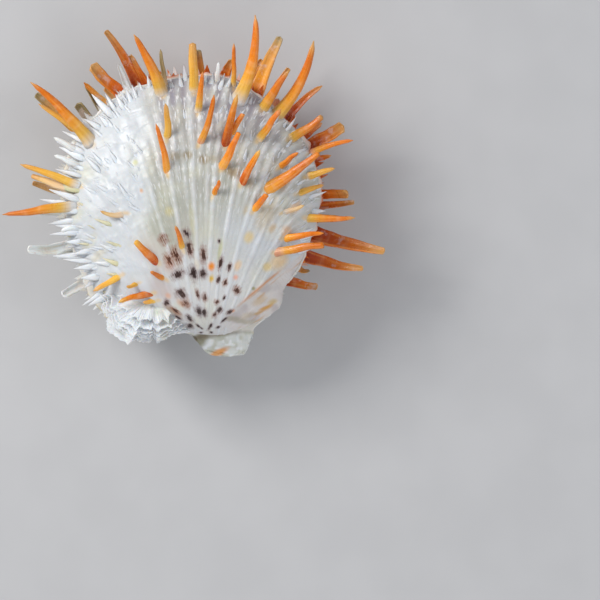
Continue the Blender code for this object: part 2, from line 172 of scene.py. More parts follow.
def unit(vectors):
    """The same directions with length one."""
    length = np.linalg.norm(vectors, axis=-1, keepdims=True)
    return vectors / np.maximum(length, 1e-9)


def even_loop(points, count):
    """A smooth closed curve through the points, as places evenly spaced along it."""
    knots = np.array(points)
    before, after = np.roll(knots, 1, axis=0), np.roll(knots, -1, axis=0)
    pull, next_pull = (after - before) / 2, (np.roll(after, -1, axis=0) - knots) / 2
    fine, steps = [], 16
    for t in np.linspace(0, 1, steps, endpoint=False):
        a, b = 2 * t**3 - 3 * t**2 + 1, t**3 - 2 * t**2 + t
        c, d = 3 * t**2 - 2 * t**3, t**3 - t**2
        fine.append(a * knots + b * pull + c * after + d * next_pull)
    curve = np.stack(fine, axis=1).reshape(-1, 2)
    closed = np.vstack([curve, curve[:1]])
    along = np.concatenate([[0], np.cumsum(np.linalg.norm(np.diff(closed, axis=0), axis=1))])
    wanted = np.linspace(0, along[-1], count, endpoint=False)
    return np.stack([np.interp(wanted, along, closed[:, i]) for i in (0, 1)], axis=1)


class Dome:
    """The plain outer surface of a valve, which its ribs, scales and spines stand on."""

    def __init__(self, margin, middle, rise, roundness, side, gap):
        self.edge = even_loop(margin, EDGE_POINTS)
        self.middle, self.rise, self.roundness, self.side = middle, rise, roundness, side
        self.rim = JOINT_HEIGHT + side * gap / 2
        spread = self.edge - middle
        angles = np.arctan2(spread[:, 1], spread[:, 0])
        order = np.argsort(angles)
        self.angles, self.reach = angles[order], np.hypot(*spread.T)[order]

    def share(self, x, y):
        """How far out a place is: 0 in the middle of the dome, 1 at the margin."""
        dx, dy = x - self.middle[0], y - self.middle[1]
        reach = np.interp(np.arctan2(dy, dx), self.angles, self.reach, period=2 * math.pi)
        return np.minimum(np.hypot(dx, dy) / reach, 1.0)

    def height(self, x, y):
        dome = self.rise * (1 - self.share(x, y) ** DOME_FLATNESS) ** self.roundness
        return self.rim + self.side * dome

    def margin_at(self, turns):
        """Places on the margin, for shares of one turn round it."""
        knots = np.arange(len(self.edge)) / len(self.edge)
        return np.stack(
            [np.interp(turns, knots, self.edge[:, i], period=1.0) for i in (0, 1)], axis=-1
        )

    def plan(self, turns, shares):
        """Places in plan on the ribs' lines, from the umbo at 0 to the margin at 1."""
        edge = self.margin_at(turns)
        away = unit(edge - self.middle)
        reach = np.linalg.norm(edge - UMBO, axis=-1, keepdims=True)
        bend = edge - away * RIB_BEND * reach
        s = np.asarray(shares)[..., None]
        return (1 - s) ** 2 * UMBO + 2 * s * (1 - s) * bend + s**2 * edge

    def places(self, turns, shares):
        plan = self.plan(turns, shares)
        height = self.height(plan[..., 0], plan[..., 1])
        return np.concatenate([plan, height[..., None]], axis=-1)

    def rib_numbers(self, x, y):
        """Rib numbers at places on ribs that spread from FAN, counted round the margin."""
        bearings = np.arctan2(*(self.edge - FAN).T[::-1])
        start = np.argmax(np.where(self.edge[:, 0] < 0, bearings, -9))
        stop = np.argmin(np.where(self.edge[:, 0] > 0, bearings, 9)) + len(bearings)
        picked = np.arange(start, stop + 1)
        edge = self.edge[picked % len(bearings)]
        numbers = picked * RIBS / len(bearings) - RIB_SHIFT
        away = unit(edge - self.middle)
        bend = edge - away * RIB_BEND * np.linalg.norm(edge - FAN, axis=-1, keepdims=True)
        bearing = np.arctan2(y - FAN[1], x - FAN[0])
        reach = np.hypot(x - FAN[0], y - FAN[1])
        rib, past_rib, past_reach = np.zeros_like(reach), 0.0, 0.0
        for s in np.linspace(0.02, 1.0, 50):
            line = (1 - s) ** 2 * FAN + 2 * s * (1 - s) * bend + s**2 * edge - FAN
            at, far = np.arctan2(line[:, 1], line[:, 0]), np.hypot(line[:, 0], line[:, 1])
            here_rib = np.interp(-bearing, -at, numbers)
            here_reach = np.interp(-bearing, -at, far)
            share = np.clip((reach - past_reach) / np.maximum(here_reach - past_reach, 1e-6), 0, 1)
            rib = np.where(reach >= past_reach, past_rib + share * (here_rib - past_rib), rib)
            past_rib, past_reach = here_rib, here_reach
        return rib

    def stance(self, turns, shares):
        """Places on the surface, the ribs' direction there, and the direction out of the shell."""
        step = 0.004
        places = self.places(turns, shares)
        along = unit(self.places(turns, shares + step) - self.places(turns, shares - step))
        across = self.places(turns + step, shares) - self.places(turns - step, shares)
        out = unit(np.cross(across, along))
        out *= np.where(out[..., 2:] * self.side < 0, -1, 1)
        return places, along, out


def make_mesh(name, places, quads, triangles, uv, tints, node, material, values=None):
    """A mesh piece from arrays, in the place of its CAD node, with smooth faces."""
    data = bpy.data.meshes.new(name)
    corners = np.concatenate([quads.reshape(-1), triangles.reshape(-1)])
    totals = np.concatenate([np.full(len(quads), 4), np.full(len(triangles), 3)])
    starts = np.concatenate([[0], np.cumsum(totals)[:-1]])
    data.vertices.add(len(places))
    data.vertices.foreach_set("co", (places * MM).astype(np.float32).ravel())
    data.loops.add(len(corners))
    data.loops.foreach_set("vertex_index", corners.astype(np.int32))
    data.polygons.add(len(totals))
    data.polygons.foreach_set("loop_start", starts.astype(np.int32))
    data.polygons.foreach_set("use_smooth", np.ones(len(totals), bool))
    layer = data.uv_layers.new(name="growth")
    layer.uv.foreach_set("vector", uv.astype(np.float32).ravel())
    layer = data.color_attributes.new("tint", "FLOAT_COLOR", "POINT")
    full = np.concatenate([np.clip(tints, 0, 1), np.ones((len(tints), 1))], axis=1)
    layer.data.foreach_set("color", full.astype(np.float32).ravel())
    for key, amounts in (values or {}).items():
        layer = data.attributes.new(key, "FLOAT", "POINT")
        layer.data.foreach_set("value", amounts.astype(np.float32).ravel())
    data.update(calc_edges=True)
    data.validate()
    data.materials.append(material)
    made = bpy.data.objects.new(name, data)
    bpy.context.scene.collection.objects.link(made)
    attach(made, "root")
    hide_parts(node)
    return made


# Width of sheet that counts as one turn round a scale in the growth coordinates, and how far apart the
# coordinates of two sheets and of two spines are, so that no two have the same grain
SHEET_SPAN = 4.0
SHEET_APART = 31.7
SPINE_APART = 7.3


class Sheets:
    """Thin closed sheets, gathered to be joined in one object."""

    def __init__(self):
        self.places, self.quads, self.uv, self.tints, self.count = [], [], [], [], 0

    def add(self, grid, outs, thickness, tints):
        """A grid of places made a closed sheet, with its thickness along the directions given."""
        rows, columns, _ = grid.shape
        half = outs * np.broadcast_to(thickness, (rows, columns))[..., None] / 2
        total = rows * columns
        index = np.arange(total).reshape(rows, columns)
        front = np.stack([index[:-1, :-1], index[:-1, 1:], index[1:, 1:], index[1:, :-1]], axis=-1)
        front = front.reshape(-1, 4)
        loop = np.concatenate([index[0], index[1:, -1], index[-1, -2::-1], index[-2:0:-1, 0]])
        after = np.roll(loop, -1)
        walls = np.stack([loop, loop + total, after + total, after], axis=-1)
        quads = np.concatenate([front, front[:, ::-1] + total, walls])
        across = np.linalg.norm(np.diff(grid, axis=1, prepend=grid[:, :1]), axis=-1).cumsum(axis=1)
        down = np.linalg.norm(np.diff(grid, axis=0, prepend=grid[:1]), axis=-1).cumsum(axis=0)
        coords = np.stack([across / SHEET_SPAN, down], axis=-1).reshape(-1, 2)
        coords += SHEET_APART * len(self.places)
        self.places.append(np.concatenate([(grid + half).reshape(-1, 3), (grid - half).reshape(-1, 3)]))
        self.quads.append(quads + self.count)
        self.uv.append(coords[quads % total].reshape(-1, 2))
        self.tints.append(np.tile(tints.reshape(-1, 3), (2, 1)))
        self.count += 2 * total

    def build(self, name, valve, material):
        """All the sheets as one object of a valve."""
        return make_mesh(
            name, np.concatenate(self.places), np.concatenate(self.quads), np.zeros((0, 3), int),
            np.concatenate(self.uv), np.concatenate(self.tints), valve, material,
        )


class Value:
    """A number in a node tree, so that shader maths reads as maths."""

    def __init__(self, recipe, socket):
        self.recipe, self.socket = recipe, socket

    def maths(self, operation, first, second):
        settings = {"operation": operation}
        return self.recipe.node("ShaderNodeMath", settings, {0: first, 1: second})

    def __add__(self, other):
        return self.maths("ADD", self, other)

    def __sub__(self, other):
        return self.maths("SUBTRACT", self, other)

    def __rsub__(self, other):
        return self.maths("SUBTRACT", other, self)

    def __mul__(self, other):
        return self.maths("MULTIPLY", self, other)

    __radd__ = __add__
    __rmul__ = __mul__


class Recipe:
    """One material's nodes: sockets as values, and one call for every kind of node."""

    def __init__(self, name, roughness, subsurface=0.0, radius=1.0):
        self.material = bpy.data.materials.new(name)
        self.material.use_nodes = True
        self.tree = self.material.node_tree
        self.shader = self.tree.nodes["Principled BSDF"]
        self.shader.inputs["Roughness"].default_value = roughness
        self.shader.inputs["Subsurface Weight"].default_value = subsurface
        self.shader.inputs["Subsurface Radius"].default_value = (1.0, 0.6, 0.4)
        self.shader.inputs["Subsurface Scale"].default_value = radius * MM

    def feed(self, socket, value):
        if isinstance(value, Value):
            self.tree.links.new(value.socket, socket)
        else:
            socket.default_value = value

    def node(self, kind, settings=None, sockets=None, output=0):
        """One node with its settings, then its sockets, as the value of one of its outputs."""
        made = self.tree.nodes.new(kind)
        for key, value in (settings or {}).items():
            if key == "stops":
                ramp = made.color_ramp.elements
                while len(ramp) < len(value):
                    ramp.new(0.5)
                for element, (place, colour) in zip(ramp, value):
                    element.position = place
                    element.color = (*colour, 1.0)
            else:
                setattr(made, key, value)
        for key, value in (sockets or {}).items():
            self.feed(made.inputs[key], value)
        return Value(self, made.outputs[output])

    def attribute(self, name, output="Fac"):
        return self.node("ShaderNodeAttribute", {"attribute_name": name}, output=output)

    def growth(self):
        """The piece's growth coordinates: round it, and along it."""
        uv = self.node("ShaderNodeUVMap", {"uv_map": "growth"})
        parts = self.tree.nodes.new("ShaderNodeSeparateXYZ")
        self.feed(parts.inputs[0], uv)
        return Value(self, parts.outputs[0]), Value(self, parts.outputs[1])

    def vector(self, x, y, z=0.0):
        return self.node("ShaderNodeCombineXYZ", None, {0: x, 1: y, 2: z})

    def noise(self, place, scale, detail=2.0, rough=0.5):
        sockets = {"Vector": place, "Scale": scale, "Detail": detail, "Roughness": rough}
        return self.node("ShaderNodeTexNoise", {"noise_dimensions": "3D"}, sockets)

    def between(self, value, low, high, first=0.0, last=1.0):
        """The value's place between low and high, eased, as a number from first to last."""
        settings = {"interpolation_type": "SMOOTHSTEP"}
        sockets = {"Value": value, 1: low, 2: high, 3: first, 4: last}
        return self.node("ShaderNodeMapRange", settings, sockets)

    def blend(self, share, first, second, kind="MIX"):
        """A mix of two colours."""
        settings = {"data_type": "RGBA", "blend_type": kind, "clamp_factor": True}
        return self.node("ShaderNodeMix", settings, {0: share, 6: first, 7: second}, 2)

    def finish(self, colour, roughness, height, depth):
        """Joins the recipe to its shader; the height's full range is depth millimetres."""
        self.feed(self.shader.inputs["Base Color"], colour)
        self.feed(self.shader.inputs["Roughness"], roughness)
        bump = self.node("ShaderNodeBump", None, {"Height": height, "Distance": depth * MM})
        self.feed(self.shader.inputs["Normal"], bump)
        return self.material


def object_place(recipe):
    """The place in the piece itself, in metres."""
    return recipe.node("ShaderNodeTexCoord", output="Object")


def length_setting(name, description, default, low, high):
    """A length that a user can change, in metres."""
    return bpy.props.FloatProperty(
        name=name, description=description, default=default, min=low, max=high, unit="LENGTH",
    )


def colour_setting(name, description, *tone):
    """A colour that a user can change, with its default as a display colour."""
    return bpy.props.FloatVectorProperty(
        name=name, description=description, subtype="COLOR", default=shade(*tone),
    )


class ShellSizes(bpy.types.PropertyGroup):
    """Sizes of the two valves and of what grows on them."""

    upper_rise: length_setting(
        "Upper rise", "Height of the upper valve's dome above the joint", 0.017, 0.005, 0.05,
    )
    lower_depth: length_setting(
        "Lower depth", "Depth of the lower valve's bowl below the joint", 0.0333, 0.01, 0.08,
    )
    valve_gap: length_setting(
        "Valve gap", "Clear gap between the two valves at the joint", 0.0003, 0.0001, 0.002,
    )
    rib_height: length_setting("Rib height", "Height of a main rib at the margin", 0.0009, 0.0, 0.003)
    scale_length: length_setting(
        "Scale length", "Usual length of a scale, which each row makes more or less of", 0.006, 0.001, 0.015,
    )


class ShellColours(bpy.types.PropertyGroup):
    """Colours that the shell's markings and spines are mixed from."""

    white: colour_setting("White", "Opaque bluish white of the ribs and scales", 214, 217, 221)
    lilac: colour_setting("Lilac grey", "Glassy lilac grey between the ribs near the margin", 150, 144, 156)
    orange: colour_setting("Orange", "Orange of the spines", 234, 134, 22)
    yellow: colour_setting("Yellow", "Yellow at the feet of the spines", 232, 184, 74)
    ember: colour_setting("Ember red", "Dark red of the lower spines' channels", 150, 44, 8)
    spot: colour_setting("Spot brown", "Nearly black brown of the spots by the umbo", 44, 24, 20)


def sizes():
    return bpy.context.scene.shell_sizes


def colours():
    return bpy.context.scene.shell_colours


def upper_dome():
    size = sizes()
    return Dome(UPPER_MARGIN, UPPER_MIDDLE, size.upper_rise / MM, UPPER_ROUNDNESS, 1, size.valve_gap / MM)


def lower_dome():
    size = sizes()
    return Dome(LOWER_MARGIN, LOWER_MIDDLE, size.lower_depth / MM, LOWER_ROUNDNESS, -1, size.valve_gap / MM)


@dataclass(frozen=True)
class Spine:
    """A spine from its root to its tip, with its widths, its colours and its bow, in millimetres."""

    root: tuple
    tip: tuple
    tip_height: float
    width: float
    end: float
    tone: str
    bow: float = 0.0


def spines(*rows):
    """Spines from rows of their values, in the order of the class above."""
    return tuple(Spine(*row) for row in rows)


# Spines at the upper valve's margin, clockwise from the left
UPPER_RIM_SPINES = spines(
    ((-39.0, -6.5), (-63.8, -9.5), 36, 4.0, 1.0, "flame"),
    ((-38.0, 0.0), (-57.8, 7.5), 37, 3.2, 1.2, "gold"),
    ((-40.0, -1.5), (-54.0, 3.5), 34, 3.0, 1.6, "cream"),
    ((-38.5, 7.0), (-46.5, 10.5), 37, 2.6, 1.0, "ivory"),
    ((-37.5, 11.0), (-46.8, 16.2), 36, 2.6, 1.0, "ivory"),
    ((-34.0, 14.0), (-54.5, 34.5), 40, 4.6, 1.2, "flame", -1.0),
    ((-35.0, 16.5), (-51.8, 27.5), 36, 2.8, 1.0, "gold"),
    ((-10.5, 30.0), (-20.2, 50.2), 42, 4.4, 1.4, "flame", -1.0),
    ((-9.5, 33.0), (-11.5, 45.5), 36, 1.8, 1.0, "olive"),
    ((0.0, 31.0), (-0.3, 47.2), 40, 3.4, 2.4, "gold"),
    ((7.5, 34.0), (8.2, 41.2), 38, 2.0, 1.0, "ivory"),
    ((13.0, 32.5), (13.5, 47.5), 37, 1.8, 1.0, "flame"),
    ((14.0, 28.0), (20.2, 56.8), 44, 5.0, 1.2, "flame", -2.5),
    ((22.5, 25.5), (31.5, 38.5), 42, 3.6, 1.0, "flame"),
    ((27.0, 23.5), (39.8, 48.2), 42, 4.4, 1.4, "flame", -2.2),
    ((31.5, 15.5), (42.5, 22.8), 40, 3.4, 2.0, "flame"),
    ((38.0, 10.5), (52.8, 15.2), 36, 2.4, 1.0, "blaze", 1.0),
    ((37.0, 3.0), (46.8, 5.8), 38, 2.8, 1.0, "gold"),
    ((34.0, -2.5), (43.0, 0.5), 40, 2.4, 1.0, "gold"),
    ((37.0, -10.5), (53.5, -10.8), 37, 3.0, 1.0, "flame"),
    ((26.5, -22.0), (42.8, -19.5), 46, 3.0, 2.0, "blaze"),
    ((29.5, -17.5), (43.0, -15.5), 42, 2.8, 1.0, "blaze"),
    ((-38.0, -13.0), (-44.5, -14.8), 35, 2.6, 1.0, "ivory"),
)

# Spines that stand on the back of the upper valve
UPPER_BACK_SPINES = spines(
    ((1.2, 24.0), (3.2, 37.8), 49, 2.6, 1.0, "flame"),
    ((1.5, 13.5), (6.8, 30.0), 54, 2.6, 1.2, "blaze", -0.8),
    ((-9.2, 15.0), (-9.5, 27.2), 50, 2.6, 1.4, "gold", -0.8),
    ((-8.8, 3.5), (-12.5, 20.5), 54, 2.6, 1.0, "blaze", -0.6),
    ((10.2, 13.0), (14.2, 30.2), 53, 3.2, 1.4, "dawn"),
    ((12.0, 17.0), (16.5, 23.5), 51, 2.4, 1.6, "blaze"),
    ((9.0, 5.5), (15.2, 17.2), 54, 3.2, 1.6, "blaze"),
    ((15.5, 0.5), (21.8, 11.8), 53, 3.0, 1.4, "dawn"),
    ((21.0, 15.0), (28.8, 25.5), 47, 3.0, 1.4, "flame"),
    ((6.2, -3.5), (8.8, 1.8), 51, 2.0, 1.0, "blaze"),
    ((28.0, 6.0), (34.5, 11.2), 46, 2.4, 1.0, "blaze"),
    ((24.0, -1.0), (41.2, 10.8), 49, 4.4, 1.6, "blaze", -0.6),
    ((19.5, -8.5), (24.0, -3.0), 49, 2.6, 1.8, "blaze"),
    ((29.0, -9.0), (36.5, -6.5), 45, 2.0, 1.0, "cream"),
    ((-3.5, -21.5), (-6.0, -13.2), 52, 2.2, 1.0, "flame"),
    ((-22.5, -9.0), (-31.2, -8.5), 46, 2.2, 0.8, "cream", 1.0),
    ((-12.0, -25.5), (-19.4, -18.6), 50, 3.2, 1.8, "dawn"),
    ((-9.5, -31.0), (-14.4, -28.3), 47, 2.2, 1.0, "blaze"),
    ((-24.0, -29.5), (-33.6, -34.6), 41, 2.4, 1.4, "gold"),
    ((-13.5, -35.5), (-25.0, -38.8), 42, 2.6, 1.2, "dawn", -0.6),
    ((-18.5, -32.2), (-22.4, -33.6), 44, 1.8, 1.0, "gold"),
    ((-12.2, -38.0), (-17.0, -38.8), 41, 2.0, 1.0, "gold"),
)

# Spines of the lower valve that reach past its margin, clockwise from the left
LOWER_RIM_SPINES = spines(
    ((-36.0, -18.5), (-55.2, -21.2), 26, 5.2, 2.6, "ivory", 0.6),
    ((-35.0, -21.5), (-45.8, -23.0), 23, 3.8, 1.8, "ivory"),
    ((-30.5, -28.5), (-43.5, -36.2), 24, 4.4, 3.0, "ivory"),
    ((-38.0, -8.0), (-52.0, -9.0), 22, 3.0, 1.0, "ivory"),
    ((-35.5, -3.5), (-54.0, 1.0), 22, 3.6, 1.6, "cream"),
    ((-34.0, 6.0), (-46.0, 10.0), 17, 2.8, 1.0, "ivory"),
    ((-33.5, 9.5), (-45.8, 16.2), 19, 2.8, 1.0, "ivory"),
    ((-31.0, 12.0), (-53.0, 30.5), 22, 4.2, 2.2, "tan"),
    ((-24.0, 10.0), (-39.4, 27.4), 12, 4.4, 3.0, "olive"),
    ((-24.0, 15.0), (-36.5, 33.5), 17, 3.6, 1.6, "olive"),
    ((-21.5, 28.0), (-34.2, 40.0), 21, 4.6, 4.0, "ember"),
    ((-26.5, 24.0), (-36.8, 35.0), 23, 3.0, 1.4, "gold"),
    ((-17.5, 29.0), (-29.8, 51.6), 25, 4.2, 1.8, "ember", -1.5),
    ((-14.5, 31.0), (-21.5, 44.2), 22, 3.0, 1.0, "ember"),
    ((-21.0, 28.5), (-25.6, 41.0), 25, 2.8, 1.0, "ivory"),
    ((3.0, 28.0), (0.6, 45.0), 22, 4.0, 3.2, "tan"),
    ((8.0, 32.0), (12.0, 42.0), 25, 5.0, 2.0, "ember"),
    ((19.5, 29.0), (28.2, 49.8), 23, 5.4, 2.4, "tan"),
    ((14.5, 29.5), (22.0, 42.5), 19, 4.0, 1.6, "ember"),
    ((22.0, 25.5), (31.2, 39.5), 20, 3.6, 1.6, "ember"),
    ((30.0, 21.5), (42.5, 33.8), 25, 3.0, 1.4, "ember", 1.0),
    ((34.0, 15.0), (42.4, 21.5), 19, 3.0, 1.4, "ember"),
    ((36.0, 12.0), (49.0, 20.0), 24, 4.6, 4.0, "ember"),
    ((38.0, 8.5), (45.5, 10.5), 24, 2.8, 1.0, "ember"),
    ((38.0, -2.2), (50.6, -2.4), 24, 3.6, 3.0, "ember"),
    ((38.0, -6.5), (53.0, -5.2), 22, 2.8, 1.6, "ember"),
    ((37.0, -9.5), (52.0, -11.0), 18, 2.4, 1.0, "gold"),
    ((36.5, -14.8), (63.0, -21.5), 26, 6.0, 2.4, "ember", -0.6),
    ((35.0, -22.5), (56.0, -27.2), 24, 4.6, 1.8, "ember", -0.6),
    ((32.0, -26.8), (38.4, -28.4), 22, 2.8, 1.0, "tan"),
    ((29.5, -31.0), (40.6, -33.6), 23, 3.4, 2.2, "ember"),
)

# Shorter spines on the underside, in the rows that grow towards the far edge
LOWER_BACK_SPINES = spines(
    ((13.0, 15.5), (16.0, 30.0), 6.5, 4.2, 2.0, "blaze"),
    ((19.0, 14.5), (27.5, 29.5), 7.5, 4.4, 2.4, "crust"),
    ((25.0, 12.0), (33.0, 24.0), 9.0, 3.8, 1.6, "blaze"),
    ((6.0, 14.0), (8.0, 27.0), 5.0, 3.8, 2.0, "blaze"),
    ((29.0, 7.0), (38.0, 14.5), 9.0, 3.6, 1.8, "blaze"),
    ((0.5, 16.0), (0.5, 26.0), 6.0, 3.2, 1.8, "blaze"),
    ((22.0, 7.5), (29.5, 17.0), 3.5, 3.2, 1.4, "blaze"),
    ((14.5, 8.0), (19.0, 18.0), 2.5, 3.2, 1.4, "blaze"),
    ((31.0, 1.5), (39.0, 5.5), 9.0, 3.2, 1.6, "blaze"),
    ((27.5, 2.5), (34.0, 8.5), 4.0, 2.8, 1.4, "blaze"),
    ((33.0, -4.0), (41.0, -3.0), 9.5, 3.2, 1.6, "blaze"),
    ((-17.0, 19.5), (-29.5, 33.5), 11.0, 4.4, 2.6, "cream"),
    ((-10.5, 23.5), (-22.0, 43.5), 16.0, 4.0, 2.2, "cream"),
    ((-34.0, -5.5), (-45.4, -5.8), 17.0, 2.8, 1.0, "ivory"),
)


def tone_stops():
    """Colours along a spine: outside stops by share of its length, and its channel's stops."""
    paint = colours()
    white, orange, yellow = (np.array(c) for c in (paint.white, paint.orange, paint.yellow))
    ember = np.array(paint.ember)
    deep, amber = np.array(shade(222, 114, 6)), np.array(shade(238, 164, 50))
    tan, olive = np.array(shade(214, 158, 88)), np.array(shade(158, 142, 100))
    cream, pink = np.array(shade(232, 204, 170)), np.array(shade(222, 160, 130))
    frost, rust = np.array(shade(206, 216, 224)), np.array(shade(186, 72, 14))
    snow = np.array(shade(236, 244, 250))
    return {
        "flame": (
            ((0.0, white), (0.06, yellow * 0.5 + white * 0.5), (0.15, yellow), (0.3, amber), (0.5, orange),
             (0.85, deep), (1.0, tan)),
            ((0.0, yellow), (0.3, orange), (1.0, deep)),
        ),
        "blaze": (
            ((0.0, pink), (0.12, amber), (0.4, orange), (0.8, deep), (1.0, orange)),
            ((0.0, pink), (0.3, deep), (1.0, deep)),
        ),
        "dawn": (
            ((0.0, rust), (0.3, deep), (0.7, orange), (1.0, yellow)),
            ((0.0, deep), (1.0, orange)),
        ),
        "gold": (
            ((0.0, white), (0.15, yellow), (0.6, yellow * 0.5 + amber * 0.5), (1.0, tan)),
            ((0.0, yellow), (1.0, orange)),
        ),
        "tan": (
            ((0.0, orange), (0.4, tan * 0.5 + amber * 0.5), (0.8, tan), (1.0, olive)),
            ((0.0, rust), (0.35, amber), (0.8, tan), (1.0, olive)),
        ),
        "ember": (
            ((0.0, pink), (0.15, rust), (0.45, deep), (0.8, orange), (1.0, tan)),
            ((0.0, ember), (0.25, rust), (0.6, deep), (1.0, tan)),
        ),
        "cream": (
            ((0.0, white), (0.3, cream), (0.8, yellow * 0.5 + cream * 0.5), (1.0, tan)),
            ((0.0, cream), (1.0, tan)),
        ),
        "olive": (
            ((0.0, cream), (0.4, olive), (1.0, olive)),
            ((0.0, olive), (1.0, olive * 0.7)),
        ),
        "crust": (
            ((0.0, pink), (0.3, pink * 0.4 + frost * 0.6), (1.0, frost * 0.9)),
            ((0.0, rust), (1.0, pink)),
        ),
        "ivory": (
            ((0.0, white), (0.5, snow), (1.0, snow)),
            ((0.0, white), (0.4, snow), (1.0, snow)),
        ),
    }


def along_stops(stops, shares):
    """Colours read off a row of stops."""
    places = [place for place, _ in stops]
    kept = np.array([colour for _, colour in stops])
    return np.stack([np.interp(shares, places, kept[:, i]) for i in range(3)], axis=-1)


# A spine's section, one from its middle to its edge: round outside, with an open channel behind
CHANNEL_SECTION = (
    (1.0, -0.28), (0.99, 0.05), (0.86, 0.36), (0.62, 0.58), (0.32, 0.70), (0.0, 0.74),
    (-0.32, 0.70), (-0.62, 0.58), (-0.86, 0.36), (-0.99, 0.05), (-1.0, -0.28),
    (-0.78, -0.30), (-0.52, -0.08), (0.0, 0.04), (0.52, -0.08), (0.78, -0.30),
)
CHANNEL_FROM = 11
# A scale's section: a thin arched tongue
SCALE_SECTION = (
    (1.0, -0.12), (0.62, 0.12), (0.0, 0.22), (-0.62, 0.12), (-1.0, -0.12),
    (-0.55, -0.06), (0.0, 0.0), (0.55, -0.06),
)


def loop_quads(rings, columns):
    """Quads of a grid whose columns run round in a loop."""
    ring, column = np.meshgrid(np.arange(rings - 1), np.arange(columns), indexing="ij")
    after = (column + 1) % columns
    return np.stack(
        [ring * columns + column, ring * columns + after, (ring + 1) * columns + after,
         (ring + 1) * columns + column], axis=-1
    ).reshape(-1, 4)


def sweep(paths, radii, outs, section):
    """Sections along many paths at once: places, quads, triangles of both ends, and uv corners."""
    count, steps, _ = paths.shape
    around = len(section)
    section = np.array(section)
    tangents = unit(np.gradient(paths, axis=1))
    sides = unit(np.cross(outs, tangents))
    ups = np.cross(tangents, sides)
    rings = paths[:, :, None] + radii[:, :, None, None] * (
        sides[:, :, None] * section[None, None, :, :1] + ups[:, :, None] * section[None, None, :, 1:]
    )
    ends = np.stack([paths[:, 0], paths[:, -1] + tangents[:, -1] * radii[:, -1:] * 0.5], axis=1)
    places = np.concatenate([rings.reshape(count, -1, 3), ends], axis=1)
    quads = loop_quads(steps, around)
    turn = np.arange(around)
    foot, tip = steps * around, steps * around + 1
    last = (steps - 1) * around
    low = np.stack([np.full(around, foot), (turn + 1) % around, turn], axis=-1)
    high = np.stack([np.full(around, tip), last + turn, last + (turn + 1) % around], axis=-1)
    triangles = np.concatenate([low, high])
    shift = np.arange(count)[:, None, None] * places.shape[1]
    lengths = np.cumsum(np.linalg.norm(np.diff(paths, axis=1), axis=-1), axis=1)
    lengths = np.concatenate([np.zeros((count, 1)), lengths], axis=1)
    ring, column = np.meshgrid(np.arange(steps - 1), np.arange(around), indexing="ij")
    u = np.stack([column, column + 1, column + 1, column], axis=-1).reshape(-1, 4) / around
    rows = np.stack([ring, ring, ring + 1, ring + 1], axis=-1).reshape(-1, 4)
    quad_uv = np.stack(
        [np.broadcast_to(u, (count, *u.shape)), lengths[:, rows]], axis=-1
    ).reshape(-1, 2)
    end_u = np.tile(np.stack([turn + 0.5, turn + 1, turn], axis=-1) / around, (2, 1))
    end_v = np.repeat(lengths[:, [0, -1]], around, axis=1)[:, :, None]
    end_uv = np.stack(
        [np.broadcast_to(end_u, (count, *end_u.shape)),
         np.broadcast_to(end_v, (count, *end_u.shape))], axis=-1
    ).reshape(-1, 2)
    offset = np.arange(count)[:, None] * SPINE_APART
    uv = np.concatenate([quad_uv, end_uv])
    uv[:, 1] += np.concatenate(
        [np.repeat(offset.ravel(), quads.size), np.repeat(offset.ravel(), triangles.size)]
    )
    return (
        places, (quads[None] + shift).reshape(-1, 4), (triangles[None] + shift).reshape(-1, 3), uv
    )


# How deep a spine's root lies inside the wall, its arch as a share of its length, the rings along it, and
# the width of end above which it is broken off blunt
ROOT_DEPTH = 1.5
SPINE_ARCH = 0.10
SPINE_RINGS = 26
BLUNT_END = 1.5


def spine_paths(grown, dome, steps):
    """Arched centre lines from inside the wall to the tip, opening away from the joint."""
    roots = np.array([s.root for s in grown])
    tips = np.array([s.tip for s in grown])
    buried = dome.side * ROOT_DEPTH
    low = np.column_stack([roots, dome.height(roots[:, 0], roots[:, 1]) - buried])
    high = np.column_stack([tips, [s.tip_height for s in grown]])
    run = high - low
    sideways = np.column_stack([-run[:, 1], run[:, 0], np.zeros(len(run))])
    sideways /= np.hypot(run[:, :1], run[:, 1:2])
    arch = np.zeros_like(run)
    arch[:, 2] = dome.side * SPINE_ARCH * np.linalg.norm(run, axis=1)
    middle = (low + high) / 2 + 2 * np.array([[s.bow] for s in grown]) * sideways + arch
    t = np.linspace(0, 1, steps)[None, :, None]
    return (1 - t) ** 2 * low[:, None] + 2 * t * (1 - t) * middle[:, None] + t**2 * high[:, None]


